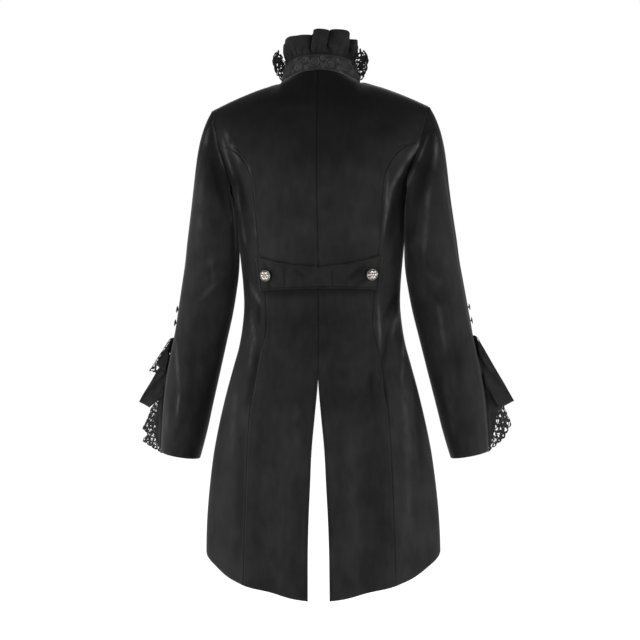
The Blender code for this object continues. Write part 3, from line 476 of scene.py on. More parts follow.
def sleeve_arm_angles(part):
    """Angles round the armhole of the corners of a sleeve half's top edge."""
    half = armhole_angles()
    around = half + [360.0 - a for a in reversed(half[:-1])]
    hind, fore = half[2], 360.0 - half[-2]
    if part == "back":
        return np.array([a for a in around if hind <= a <= fore])
    return np.array([a for a in around if a >= fore] + [360.0 + a for a in half[1:3]])


def sleeve_panel(part):
    """Middle of the wall of the back or front half of a sleeve, from the armhole to the cuff."""
    arm = sleeve_arm_angles(part)
    share = np.linspace(0.0, 1.0, len(arm))
    near, far = seam_angles(part, BICEP_Z)
    rows = []
    for t in CAP_ROWS:
        grown = ease(t)
        angles = arm * (1 - grown) + (near + (far - near) * share) * grown
        row = []
        for a, base in zip(angles, arm):
            start = armhole_point(base % 360.0)
            start[0] += armpit_shift(base) * (t > 0)
            row.append(cap_point(start, a, t))
        rows.append(row)
    for z in ARM_ROWS + CUFF_ROWS:
        near, far = seam_angles(part, z)
        rows.append(sleeve_ring(np.full(len(arm), z), near + (far - near) * share))
    return np.array(rows)


# The stand collar: height of its band, and how far its top leans in.
COLLAR = Table(
    "angle height lean",
    [
        (0.0, 0.0275, 0.005),
        (30.0, 0.0300, 0.006),
        (50.0, 0.0340, 0.008),
        (90.0, 0.0385, 0.0085),
        (135.0, 0.0340, 0.008),
        (180.0, 0.0300, 0.006),
    ],
)
THROAT_ANGLE = 178.6
COLLAR_SHARES = (0.0, 0.5, 1.0)


def level_outward(angle):
    """The level direction away from the neck at an angle round it."""
    turn = np.radians(angle)
    return np.stack([np.sin(turn), -np.cos(turn), np.zeros_like(turn)], axis=-1)


def collar_point(angle, share):
    """A point of the collar's wall, at a share of its height."""
    base = neck_point(np.abs(angle))
    base[..., 0] *= np.sign(angle)
    base -= level_outward(angle) * (COLLAR("lean", np.abs(angle)) * share)[..., None]
    base[..., 2] += COLLAR("height", np.abs(angle)) * share
    return base


def collar_angles():
    """Angles of the collar's corners, which meet the corners of the panels' necklines."""
    lap_angle = 180.0 - math.degrees(math.asin(LAP / NECK_HALF))
    half = list(BACK_NECK_ANGLES) + sorted(FRONT_NECK_ANGLES)[1:] + [lap_angle, THROAT_ANGLE]
    return np.array([-a for a in reversed(half[1:])] + half)


def collar_wall():
    """Middle of the collar's wall. Its upper rows have more corners, set between the seam's own."""
    seam = collar_angles()
    angles = np.sort(np.concatenate([seam, (seam[1:] + seam[:-1]) / 2]))
    rows = [collar_point(angles, np.full(len(angles), s)) for s in COLLAR_SHARES]
    rows[0] = between(collar_point(seam, np.zeros(len(seam))))
    return np.array(rows)


def between(row):
    """The row with a point added halfway along each of its straight pieces."""
    out = np.empty((2 * len(row) - 1, row.shape[1]))
    out[::2] = row
    out[1::2] = (row[1:] + row[:-1]) / 2
    return out


def grid_normals(points, flip=False):
    """Unit normals of a grid of points, one for each."""
    across = np.gradient(points, axis=1)
    along = np.gradient(points, axis=0)
    normals = unit(np.cross(across, along))
    return -normals if flip else normals


def place_key(point):
    """Whole numbers that are the same for points within about 0.01 mm."""
    return tuple(np.round((point + 3.1e-6) / 2e-5).astype(int))


def share_normals(grids):
    """Gives points that lie together on a seam one normal, so that the walls meet face to face."""
    sums = {}
    for points, normals in grids:
        for p, n in zip(points.reshape(-1, 3), normals.reshape(-1, 3)):
            sums.setdefault(place_key(p), []).append(n)
    for points, normals in grids:
        flat = normals.reshape(-1, 3)
        for i, p in enumerate(points.reshape(-1, 3)):
            found = sums[place_key(p)]
            if len(found) > 1:
                flat[i] = unit(np.sum(found, axis=0))


def lapped(points, normals, side):
    """The front with its overlap stepped out on the wearer's right and in on the left."""
    near = ease((2 * LAP - points[..., 0]) / LAP)
    return points + normals * (side * LAP_STEP * near)[..., None]


def outward_normals(points, centre_x=0.0):
    """Normals of a tube's grid that point away from its upright middle line."""
    normals = grid_normals(points)
    away = points[..., :2] - np.array([centre_x, 0.0])
    return normals if np.mean(normals[..., :2] * away) > 0 else -normals


def body_grids():
    """Middles and normals of the panels and the collar, with the normals shared at the seams."""
    grids = {
        "back": centre_panel("back"),
        "side_back": side_panel("back"),
        "front": centre_panel("front"),
        "side_front": side_panel("front"),
        "sleeve_back": sleeve_panel("back"),
        "sleeve_front": sleeve_panel("front"),
    }
    normals = {n: outward_normals(p, 0.2 if "sleeve" in n else 0.0) for n, p in grids.items()}
    normals["back"][:, 0, 0] = 0.0
    normals["back"] = unit(normals["back"])
    seam = collar_angles()
    band = collar_wall()
    grids["collar_seam"] = np.array([collar_point(seam, np.full(len(seam), s)) for s in (0.0, 0.5)])
    normals["collar_seam"] = outward_normals(grids["collar_seam"])
    own = {n: normals[n][0].copy() for n in ("sleeve_back", "sleeve_front")}
    share_normals([(grids[n], normals[n]) for n in grids])
    for n in own:
        arm = sleeve_arm_angles(n[7:]) % 360.0
        apart = ease((np.abs(180.0 - arm) - 15.0) / 30.0)[:, None]
        normals[n][0] = unit(normals[n][0] * apart + own[n] * (1 - apart))
        grids[n][0, :, 0] += armpit_shift(arm)
    grids["collar"], normals["collar"] = band, outward_normals(band)
    right = len(seam) // 2
    foot = normals["collar_seam"][0]
    foot[:right] = foot[:right:-1] * np.array([-1, 1, 1])
    foot[right, 0] = 0.0
    normals["collar"][0] = unit(between(foot))
    return grids, normals


PANEL_EDGES = {
    "back": ("first_column", "last_column", "last_row"),
    "side_back": ("first_column", "last_column", "last_row"),
    "front": ("last_column", "last_row"),
    "side_front": ("first_column", "last_column", "last_row"),
    "sleeve_back": ("first_column", "last_column", "first_row"),
    "sleeve_front": ("first_column", "last_column", "first_row"),
}


def cell_triangles(points, r, c):
    """Corner numbers of the two triangles of a grid's cell, parted along the shorter diagonal."""
    columns = points.shape[1]
    a = r * columns + c
    b, d = a + 1, a + columns
    e = d + 1
    first = np.linalg.norm(points[r, c] - points[r + 1, c + 1])
    second = np.linalg.norm(points[r, c + 1] - points[r + 1, c])
    return [(a, b, e), (a, e, d)] if first <= second + 1e-7 else [(a, b, d), (b, e, d)]


def grid_triangles(points):
    """All the triangles of a grid's surface."""
    flat = points.reshape(-1, 3)
    rows, columns = points.shape[:2]
    cells = [(r, c) for r in range(rows - 1) for c in range(columns - 1)]
    return flat[np.array([t for r, c in cells for t in cell_triangles(points, r, c)])]


def first_hit(triangles, start, direction):
    """Where a straight line first meets a set of triangles, and the way the surface faces there."""
    a, b, c = triangles[:, 0], triangles[:, 1], triangles[:, 2]
    normal = np.cross(b - a, c - a)
    slope = normal @ direction
    slope = np.where(np.abs(slope) < 1e-14, 1e-14, slope)
    reach = np.sum((a - start) * normal, axis=1) / slope
    place = start + reach[:, None] * direction
    inside = reach > 0
    for p, q in ((a, b), (b, c), (c, a)):
        inside &= np.sum(np.cross(q - p, place - p) * normal, axis=1) >= -1e-13
    nearest = np.argmin(np.where(inside, reach, np.inf))
    facing = unit(normal[nearest])
    return place[nearest], facing * -np.sign(facing @ direction)


# The pleated ruffle that stands inside the collar: where its creases lie round the neck at the
# free edge, how many degrees they slant from there to the root, and its height above the
# collar's band, which steps from pleat to pleat.
CREASES = (-176.0, -146.0, -115.0, -84.0, -9.0, 20.0, 66.0, 90.0, 117.0, 146.0, 176.0)
CREASE_SLANT = 8.0
RUFFLE = Table(
    "angle height",
    [
        (-180.0, 0.0300),
        (-116.0, 0.0330),
        (-84.0, 0.0336),
        (-60.0, 0.0383),
        (-30.0, 0.0361),
        (-11.0, 0.0345),
        (-7.5, 0.0425),
        (0.0, 0.0432),
        (18.5, 0.0416),
        (22.0, 0.0440),
        (42.0, 0.0460),
        (64.5, 0.0425),
        (68.0, 0.0360),
        (78.0, 0.0350),
        (90.0, 0.0315),
        (180.0, 0.0300),
    ],
)
RUFFLE_ROOT = -0.009
RUFFLE_INSET = 0.0032
RUFFLE_SWING = 0.0052
RUFFLE_FLARE = 0.0035


def crease_depth(angle):
    """0 along the flat face of a pleat and 1 in the crease between two."""
    creases = np.array(CREASES)
    i = np.clip(np.searchsorted(creases, angle, side="right") - 1, 0, len(creases) - 2)
    t = (angle - creases[i]) / (creases[i + 1] - creases[i])
    return np.abs(2 * t - 1) ** 2.5


def neck_ruffle_row(angles, share):
    """A row of the standing ruffle: share is below 0 inside the collar and 1 at the free edge."""
    rise = RUFFLE_ROOT * -share if share < 0 else RUFFLE("height", angles) * share
    free = ease(share / 0.45)
    depth = crease_depth(angles + CREASE_SLANT * (1.0 - share) * free)
    inset = RUFFLE_INSET - RUFFLE_FLARE * free - RUFFLE_SWING * free * (1 - 2 * depth)
    lean = COLLAR("lean", np.abs(angles)) / COLLAR("height", np.abs(angles))
    inset = inset + lean * np.minimum(rise, 0.0)
    row = collar_point(angles, np.ones(len(angles)))
    row -= level_outward(angles) * inset[..., None]
    row[:, 2] += rise + 0.0008
    return row


# The lace frill round the sides and front of the collar, outside its band.
FRILL_START = 62.0
FRILL_END = 176.0
FRILL_WAVES = 8
FRILL_WIDTH = 0.022
FRILL_SWING = 0.019
FRILL_ROOT = (VELVET + LACE) / 2 + 2 * GAP


def frill_row(angles, share):
    """A row of the lace frill: share is 0 at its root by the collar's top and 1 at its edge."""
    phase = 2 * math.pi * FRILL_WAVES * (angles - FRILL_START) / (FRILL_END - FRILL_START)
    spread = FRILL_WIDTH * share * (0.85 + 0.15 * np.cos(2 * phase))
    row = collar_point(angles, np.full(len(angles), 0.93))
    row += level_outward(angles) * (FRILL_ROOT + spread)[..., None]
    row[:, 2] += FRILL_SWING * np.sin(phase) * share**1.2 + 0.003 * share
    return row


# The tiers that fall out of each cuff's slit. Each one is sewn behind the slit's back edge, and
# these are the heights between which it is sewn.
TIERS = {
    "upper": {"right": (-0.459, -0.476), "left": (-0.459, -0.487)},
    "middle": {"right": (-0.469, -0.528), "left": (-0.486, -0.552)},
    "lower": {"right": (-0.516, -0.658), "left": (-0.544, -0.658)},
}

# How deep a tier's first columns lie behind the tier above, how far forward it stands at the slit
# and for each metre out from there, and the depth of its folds for each metre out.
TIER_SHAPE = {
    "upper": (0.0, -0.0015, 0.20, 0.04),
    "middle": (0.0036, 0.0030, 0.36, 0.07),
    "lower": (0.0034, 0.0062, 0.55, 0.08),
}
UNDER_COLUMNS = (3.0, 6.0)
UNDER_CELLS = 60.0

# The outlines of the tiers' loose edges, with straight runs from the front and top to the back
# and bottom, and how much of the width there is lace. Marks count the tier's columns.
HEMS = {
    "upper_right": [(0, 0.2730, -0.4530, 0.005), (4, 0.2790, -0.4610, 0.008),
                    (9, 0.2900, -0.4860, 0.008), (12, 0.2810, -0.4930, 0.005)],
    "upper_left": [(0, 0.2750, -0.4530, 0.010), (8, 0.3144, -0.5117, 0.018),
                   (12, 0.2850, -0.5190, 0.009)],
    "middle_right": [(0, 0.2790, -0.4620, 0), (7, 0.3400, -0.5688, 0), (9, 0.3143, -0.5820, 0),
                     (12, 0.2900, -0.5420, 0)],
    "middle_left": [(0, 0.2880, -0.4920, 0), (7, 0.3368, -0.5677, 0), (9, 0.3167, -0.5777, 0),
                    (12, 0.2891, -0.5560, 0)],
    "lower_right": [(0, 0.3000, -0.5400, 0.012), (3, 0.3244, -0.5830, 0.022),
                    (5, 0.3354, -0.6114, 0.032), (8, 0.3227, -0.6363, 0.034),
                    (10, 0.3049, -0.6505, 0.028), (12, 0.2910, -0.6610, 0.018)],
    "lower_left": [(0, 0.2980, -0.5580, 0.008), (3, 0.3149, -0.5786, 0.017),
                   (6, 0.3326, -0.6184, 0.029), (7, 0.3246, -0.6256, 0.028),
                   (8, 0.3348, -0.6401, 0.033), (10, 0.3170, -0.6500, 0.028),
                   (12, 0.2930, -0.6620, 0.018)],
}
TIER_COLUMNS = 12
TIER_WAVES = 3.0
TUCK = (0.30, -0.10, -0.26)
WIDEST_LACE = 0.62


def hem_point(tier, word, mark):
    """The loose edge's X and Z, and the width of its lace, at a mark along a tier."""
    marks, *columns = np.array(HEMS[f"{tier}_{word}"], float).T
    x, z, lace = (np.interp(mark, marks, column) for column in columns)
    return np.array([x, z]), lace


def slit_edge(grid, normals, z, beyond, out):
    """A point by the slit's back edge: a share of a cell beyond it, and off the wall's middle."""
    first = len(CAP_ROWS) + len(ARM_ROWS) - 1
    levels = np.array(ARM_ROWS[-1:] + CUFF_ROWS)
    i = int(np.clip(np.searchsorted(-levels, -z) - 1, 0, len(levels) - 2))
    t = (z - levels[i]) / (levels[i + 1] - levels[i])
    low, high = grid[first + i], grid[first + i + 1]
    edge = low[0] + (high[0] - low[0]) * t
    next_column = low[1] + (high[1] - low[1]) * t
    facing = unit(normals[first + i, 0] * (1 - t) + normals[first + i + 1, 0] * t)
    return edge + (next_column - edge) * beyond + facing * out


def tier_grid(tier, word, grids, normals):
    """Points of a tier of cloth, from its sewn edge to its hem, and of the lace beyond the hem."""
    start, end = TIERS[tier][word]
    under, forward, slant, fold = TIER_SHAPE[tier]
    tucked = VELVET / 2 + RUFFLE_CLOTH / 2 + GAP
    cloth_columns, lace_columns = [], []
    for mark in range(TIER_COLUMNS + 1):
        share = mark / TIER_COLUMNS
        z = start + (end - start) * share
        sleeve = grids["sleeve_back"], normals["sleeve_back"]
        deep = under * (1 - float(ease((mark - UNDER_COLUMNS[0]) / UNDER_COLUMNS[1])))
        sewn = [
            slit_edge(*sleeve, z, TUCK[0], -tucked - deep),
            slit_edge(*sleeve, z, TUCK[1] - UNDER_CELLS * deep, -tucked - deep),
            slit_edge(*sleeve, z, TUCK[2] - UNDER_CELLS * deep, 0.0012 - deep),
        ]
        tip, lace = hem_point(tier, word, mark)
        root = sewn[-1][[0, 2]]
        width = np.linalg.norm(tip - root)
        lace = min(lace, WIDEST_LACE * width)
        wave = math.cos(2 * math.pi * TIER_WAVES * share)

        def place(reach):
            x, low = root + (tip - root) * reach / width
            side = slit_edge(*sleeve, low - 0.0065, 0.0, 0.0)
            out = max(x - side[0], 0.0)
            y = side[1] + forward + slant * out + fold * out * wave
            blend = float(ease(reach / 0.006))
            return np.array([x, sewn[-1][1] * (1 - blend) + y * blend, low])

        body = width - lace
        cloth_columns.append(sewn + [place(body * f) for f in (0.18, 0.42, 0.70, 1.0)])
        lace_columns.append([place(body + (width - body) * f) for f in (0.0, 0.25, 0.5, 0.72, 1.0)])
    return np.array(cloth_columns).swapaxes(0, 1), np.array(lace_columns).swapaxes(0, 1)


# The half belt across the back of the waist: half its length at the bottom and at the top, and the
# heights of its edges at distances from the middle.
BELT_HALF = (0.1010, 0.1085)
BELT = Table(
    "x top bottom",
    [
        (0.000, -0.3300, -0.3680),
        (0.045, -0.3262, -0.3684),
        (0.085, -0.3170, -0.3700),
        (0.104, -0.3110, -0.3712),
        (0.1125, -0.3150, -0.3690),
    ],
)
BELT_LIFT = VELVET + GAP + 0.0004
BELT_STAND = 0.0025
BELT_MARKS = (0.0, 0.14, 0.28, 0.42, 0.56, 0.68, 0.79, 0.87, 0.94, 1.0)


def belt_grid(grids):
    """Middle of the half belt, moved out from the points of the panels that it lies on."""
    under = np.concatenate([grid_triangles(grids["back"]), grid_triangles(grids["side_back"])])
    marks = np.array([-m for m in reversed(BELT_MARKS[1:])] + list(BELT_MARKS))
    rows = []
    for share in (0.0, 0.33, 0.66, 1.0):
        half = BELT_HALF[0] * (1 - share) + BELT_HALF[1] * share
        row = []
        for x in marks * half:
            z = BELT("bottom", abs(x)) * (1 - share) + BELT("top", abs(x)) * share
            start = np.array([max(abs(x), 1e-5), -1.0, z])
            place, facing = first_hit(under, start, np.array([0.0, 1.0, 0.0]))
            stand = BELT_STAND * (1 - (x / half) ** 2) * (1 - 0.5 * share)
            place = place + facing * (BELT_LIFT + stand)
            row.append(place * np.array([np.sign(x) if x else 0.0, 1.0, 1.0]))
        rows.append(row)
    return np.array(rows)


# How finely the cut's grids are read: steps for each row and column of the cut, and marks that
# crowd near a seam. With the lace's mesh below, they keep the coat under a million triangles.
BACK_ROW_STEPS = 8
ROW_STEPS = 6
COLUMN_STEPS = 6
TIER_STEPS = (5, 7)
BELT_STEPS = (12, 10)
SEAM_MARKS = (0.04, 0.09, 0.14, 0.19, 0.25, 0.32, 0.42, 0.56, 0.78)

# Seams: how deep the stitching pulls the cloth in, how wide the dip is, and the roll beside it.
SEAM_DIP = 0.0012
SEAM_WIDTH = 0.0012
SEAM_ROLL = 0.0003
SEAM_ROLL_AWAY = 0.0042


def refined(grid, marks):
    """The grid read at marks along its first axis, on smooth curves through its points."""
    steps = np.maximum(np.linalg.norm(np.diff(grid, axis=0), axis=-1, keepdims=True), 1e-9)
    chords = np.diff(grid, axis=0) / steps
    slopes = np.empty_like(grid)
    slopes[0], slopes[-1] = chords[0], chords[-1]
    near, far = steps[:-1], steps[1:]
    slopes[1:-1] = (chords[:-1] * far + chords[1:] * near) / (near + far)
    i = np.clip(np.floor(marks).astype(int), 0, len(grid) - 2)
    t = (marks - i)[:, None, None]
    start = t * (1 - t) ** 2 * steps[i] * slopes[i]
    end = t * t * (t - 1) * steps[i] * slopes[i + 1]
    rise = t * t * (3 - 2 * t)
    return grid[i] * (1 - rise) + grid[i + 1] * rise + start + end


def evened(grid, marks):
    """The grid read at marks along its first axis, on straight lines between its points."""
    i = np.clip(np.floor(marks).astype(int), 0, len(grid) - 2)
    t = (marks - i)[:, None, None]
    return grid[i] * (1 - t) + grid[i + 1] * t


def even_marks(count, steps):
    """Marks that cut each step of a grid's axis into the same number of steps."""
    return np.linspace(0.0, count - 1, (count - 1) * steps + 1)


def seam_marks(count, steps):
    """Marks that crowd near both ends, where the seams are."""
    marks = set(np.linspace(0.0, count - 1, (count - 1) * steps + 1))
    marks |= set(SEAM_MARKS) | {count - 1 - m for m in SEAM_MARKS}
    marks = sorted(marks)
    kept = [marks[0]] + [b for a, b in zip(marks, marks[1:]) if b - a > 0.02]
    kept[-1] = count - 1.0
    return np.array(kept)


def fine_grid(points, normals, row_marks, column_marks, read_columns=None):
    """Points and normals of a cut's grid, read at finer marks."""
    read_columns = read_columns or refined
    fine = read_columns(refined(points, row_marks).swapaxes(0, 1), column_marks).swapaxes(0, 1)
    facing = evened(evened(normals, row_marks).swapaxes(0, 1), column_marks).swapaxes(0, 1)
    return fine, unit(facing)


def lengths_along(points, axis):
    """Distance of each point of a grid from its first one along an axis."""
    steps = np.linalg.norm(np.diff(points, axis=axis), axis=-1)
    zero = np.zeros_like(np.take(steps, [0], axis=axis))
    return np.concatenate([zero, np.cumsum(steps, axis=axis)], axis=axis)


def bell(distance, width):
    """1 at no distance, falling to about a third at the width."""
    return np.exp(-((distance / width) ** 2))


def seam_away(points, sides):
    """Distance from the nearest of a grid's seams: sides is some of first, last, top, bottom."""
    across, along = lengths_along(points, 1), lengths_along(points, 0)
    away = {
        "first": across,
        "last": across[:, -1:] - across,
        "bottom": along,
        "top": along[-1:] - along,
    }
    return np.min([away[side] for side in sides], axis=0)


# The folds, as seen from behind: the ends of each one in X and Z, its half width, and its height,
# which is below 0 for a trough.
FOLDS = {
    "back": [
        (-0.099, -0.3745, 0.004, -0.3725, 0.0048, -0.0034),
        (-0.099, -0.3740, 0.099, -0.3738, 0.0036, -0.0026),
        (-0.163, -0.089, -0.136, -0.146, 0.0055, 0.0030),
        (-0.168, -0.102, -0.146, -0.177, 0.0034, 0.0022),
        (-0.146, -0.173, -0.135, -0.242, 0.0032, 0.0019),
        (-0.135, -0.239, -0.128, -0.294, 0.0032, 0.0015),
        (-0.153, -0.132, -0.128, -0.227, 0.0065, -0.0032),
        (-0.118, -0.153, -0.110, -0.198, 0.0028, 0.0015),
        (-0.110, -0.198, -0.107, -0.277, 0.0026, 0.0012),
        (0.176, -0.113, 0.149, -0.152, 0.0065, 0.0038),
        (0.149, -0.152, 0.125, -0.196, 0.0055, 0.0030),
        (0.125, -0.196, 0.114, -0.256, 0.0045, 0.0022),
        (0.171, -0.137, 0.142, -0.196, 0.0085, -0.0040),
        (0.145, -0.184, 0.119, -0.290, 0.0085, -0.0040),
        (0.176, -0.120, 0.161, -0.171, 0.0030, 0.0018),
        (0.154, -0.205, 0.146, -0.280, 0.0030, 0.0018),
        (0.146, -0.277, 0.142, -0.348, 0.0032, 0.0015),
        (0.120, -0.170, 0.112, -0.286, 0.0028, 0.0013),
        (-0.084, -0.092, -0.132, -0.129, 0.0160, -0.0020),
        (-0.007, -0.052, -0.069, -0.058, 0.0120, 0.0009),
        (0.095, -0.078, 0.139, -0.096, 0.0140, -0.0018),
        (-0.122, -0.357, -0.100, -0.395, 0.0034, 0.0022),
        (-0.121, -0.406, -0.111, -0.464, 0.0034, 0.0020),
        (-0.107, -0.392, -0.104, -0.431, 0.0034, -0.0024),
        (-0.116, -0.452, -0.120, -0.500, 0.0034, 0.0014),
        (0.137, -0.370, 0.109, -0.425, 0.0050, -0.0030),
        (0.138, -0.401, 0.121, -0.452, 0.0046, 0.0030),
        (0.101, -0.387, 0.104, -0.472, 0.0038, 0.0018),
        (0.118, -0.440, 0.107, -0.500, 0.0040, -0.0024),
        (-0.102, -0.456, -0.118, -0.565, 0.0040, -0.0034),
        (-0.115, -0.510, -0.124, -0.576, 0.0050, -0.0015),
        (-0.144, -0.524, -0.150, -0.644, 0.0080, 0.0019),
        (-0.129, -0.610, -0.135, -0.833, 0.0090, -0.0030),
        (-0.036, -0.555, -0.033, -0.644, 0.0120, 0.0018),
        (-0.081, -0.610, -0.090, -0.833, 0.0160, 0.0016),
        (0.088, -0.511, 0.088, -0.546, 0.0050, -0.0022),
        (0.110, -0.522, 0.117, -0.570, 0.0026, -0.0026),
        (0.144, -0.534, 0.151, -0.679, 0.0085, 0.0021),
        (0.151, -0.679, 0.144, -0.807, 0.0090, 0.0016),
        (0.163, -0.512, 0.174, -0.679, 0.0060, -0.0030),
        (0.053, -0.593, 0.055, -0.833, 0.0180, 0.0016),
        (0.143, -0.454, 0.141, -0.532, 0.0026, 0.0012),
    ],
    "front": [
        (-0.166, -0.105, -0.112, -0.176, 0.0090, 0.0032),
        (-0.158, -0.140, -0.104, -0.232, 0.0080, -0.0030),
        (0.170, -0.096, 0.124, -0.188, 0.0090, 0.0034),
        (0.160, -0.150, 0.108, -0.224, 0.0070, -0.0026),
        (-0.128, -0.372, -0.084, -0.412, 0.0060, 0.0026),
        (-0.122, -0.404, -0.080, -0.455, 0.0055, -0.0026),
        (0.130, -0.362, 0.090, -0.418, 0.0060, -0.0024),
        (0.126, -0.398, 0.086, -0.462, 0.0060, 0.0028),
        (-0.016, -0.318, -0.064, -0.352, 0.0070, 0.0014),
        (0.018, -0.330, 0.058, -0.372, 0.0060, -0.0014),
        (-0.132, -0.520, -0.150, -0.700, 0.0100, 0.0036),
        (-0.108, -0.500, -0.122, -0.640, 0.0080, -0.0030),
        (0.128, -0.510, 0.146, -0.690, 0.0110, 0.0034),
        (0.152, -0.480, 0.170, -0.660, 0.0080, -0.0034),
    ],
    "sleeve_back": [
        (-0.189, -0.062, -0.179, -0.108, 0.0028, 0.0015),
        (-0.181, -0.105, -0.167, -0.161, 0.0026, 0.0013),
        (-0.166, -0.150, -0.160, -0.320, 0.0110, 0.0090),
        (0.167, -0.130, 0.160, -0.315, 0.0110, 0.0120),
        (-0.184, -0.141, -0.164, -0.236, 0.0060, -0.0030),
        (-0.171, -0.180, -0.161, -0.252, 0.0028, 0.0016),
        (-0.195, -0.080, -0.200, -0.115, 0.0050, 0.0024),
        (-0.189, -0.303, -0.186, -0.347, 0.0050, 0.0015),
        (-0.202, -0.157, -0.209, -0.280, 0.0080, 0.0018),
        (-0.258, -0.443, -0.251, -0.543, 0.0030, 0.0019),
        (-0.251, -0.539, -0.256, -0.589, 0.0030, 0.0016),
        (-0.275, -0.557, -0.277, -0.624, 0.0050, 0.0015),
        (-0.241, -0.587, -0.267, -0.645, 0.0060, -0.0016),
        (-0.219, -0.438, -0.231, -0.596, 0.0090, -0.0016),
        (0.204, -0.099, 0.200, -0.160, 0.0055, 0.0024),
        (0.186, -0.147, 0.172, -0.227, 0.0060, -0.0032),
        (0.172, -0.224, 0.163, -0.288, 0.0050, -0.0024),
        (0.192, -0.172, 0.182, -0.312, 0.0060, 0.0020),
        (0.190, -0.102, 0.174, -0.151, 0.0028, 0.0016),
        (0.173, -0.151, 0.163, -0.209, 0.0028, 0.0014),
        (0.204, -0.389, 0.218, -0.479, 0.0060, 0.0016),
        (0.229, -0.441, 0.245, -0.559, 0.0060, -0.0016),
        (0.218, -0.528, 0.233, -0.632, 0.0080, 0.0016),
        (-0.174, -0.319, -0.204, -0.343, 0.0060, -0.0016),
        (-0.181, -0.354, -0.211, -0.385, 0.0065, 0.0015),
        (0.188, -0.340, 0.209, -0.361, 0.0060, 0.0015),
        (0.183, -0.368, 0.216, -0.396, 0.0065, -0.0015),
    ],
    "sleeve_front": [
        (-0.166, -0.130, -0.160, -0.290, 0.0070, -0.0028),
        (-0.190, -0.115, -0.186, -0.300, 0.0090, 0.0024),
        (-0.160, -0.310, -0.204, -0.338, 0.0060, -0.0026),
        (-0.164, -0.336, -0.214, -0.368, 0.0065, 0.0026),
        (-0.172, -0.364, -0.218, -0.404, 0.0060, -0.0022),
        (-0.212, -0.430, -0.240, -0.640, 0.0110, 0.0020),
        (0.168, -0.135, 0.160, -0.280, 0.0070, -0.0026),
        (0.192, -0.120, 0.188, -0.310, 0.0090, 0.0022),
        (0.158, -0.322, 0.200, -0.344, 0.0060, -0.0024),
        (0.166, -0.346, 0.214, -0.384, 0.0065, 0.0026),
        (0.176, -0.376, 0.216, -0.412, 0.0060, -0.0018),
        (0.208, -0.430, 0.238, -0.640, 0.0110, 0.0020),
    ],
    "belt": [
        (-0.058, -0.323, -0.058, -0.370, 0.0026, -0.0009),
        (0.024, -0.325, 0.024, -0.371, 0.0024, -0.0008),
        (-0.042, -0.333, -0.022, -0.347, 0.0050, -0.0014),
        (-0.032, -0.357, 0.002, -0.337, 0.0050, 0.0013),
        (0.048, -0.354, 0.084, -0.324, 0.0060, -0.0022),
        (0.056, -0.371, 0.093, -0.352, 0.0050, 0.0020),
        (-0.093, -0.322, -0.084, -0.370, 0.0050, -0.0018),
        (0.101, -0.325, 0.102, -0.362, 0.0040, -0.0016),
        (0.002, -0.334, 0.019, -0.361, 0.0040, 0.0010),
    ],
}


# The steepness from which a fold's painted highlight and shade are strongest, and the height from
# which a fold only shapes the cloth, with no painted light.
STEEP = 0.45
HIGHEST_PAINTED_FOLD = 0.0060


def fold_lift(face, points):
    """How far the folds lift the cloth at each point of a grid, and the light painted there: down to
    -1 along a ridge, for a painted highlight, and above 0 in a trough, for painted shade."""
    x, z = points[..., 0], points[..., 2]
    lift, nap_and_painted_light = np.zeros(x.shape), np.zeros(x.shape)
    for x0, z0, x1, z1, width, height in FOLDS[face]:
        span = np.array([x1 - x0, z1 - z0])
        t = ((x - x0) * span[0] + (z - z0) * span[1]) / (span @ span)
        near = np.clip(t, 0.0, 1.0)
        off = np.hypot(x - x0 - near * span[0], z - z0 - near * span[1])
        taper = np.sin(math.pi * np.clip(near, 0.03, 0.97)) ** 0.5
        lift += height * taper * bell(off, width)
        if abs(height) < HIGHEST_PAINTED_FOLD:
            band = bell(off, width * (0.62 if height > 0 else 0.95))
            steep = min(abs(height) / width / STEEP, 1.0) ** 1.5
            nap_and_painted_light -= math.copysign(steep, height) * taper * band
    return lift, nap_and_painted_light


def mesh_piece(name, points, faces, material, uv=None, marks=None):
    """A piece of the coat from its points and faces, riding on the coat's one body. marks holds
    a number for each point, which the material reads as the attribute figure."""
    mesh = bpy.data.meshes.new(name)
    mesh.from_pydata(points, [], faces)
    if uv is not None:
        layer = mesh.uv_layers.new(name="UVMap")
        corner = np.empty(len(mesh.loops), dtype=np.int32)
        mesh.loops.foreach_get("vertex_index", corner)
        layer.data.foreach_set("uv", uv[corner].astype(np.float32).ravel())
    if marks is not None:
        figure = mesh.attributes.new("figure", "FLOAT", "POINT")
        figure.data.foreach_set("value", np.asarray(marks, np.float32))
    mesh.shade_smooth()
    mesh.materials.append(material)
    piece = bpy.data.objects.new(name, mesh)
    bpy.context.scene.collection.objects.link(piece)
    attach(piece, "root")
    return piece


def turned(points, normals):
    """1 where a grid's rows and columns turn the same way as its normals, and -1 otherwise."""
    return 1 if np.mean(np.sum(grid_normals(points) * normals, axis=-1)) > 0 else -1


def grid_cells(shape):
    """Corners and faces of a whole grid, in the same form as those of a cut one."""
    rows, columns = shape[:2]
    a = (np.arange(rows - 1)[:, None] * columns + np.arange(columns - 1)).ravel()
    faces = np.stack([a, a + 1, a + 1 + columns, a + columns], axis=1).tolist()
    return [(i, i, 0.0) for i in range(rows * columns)], faces


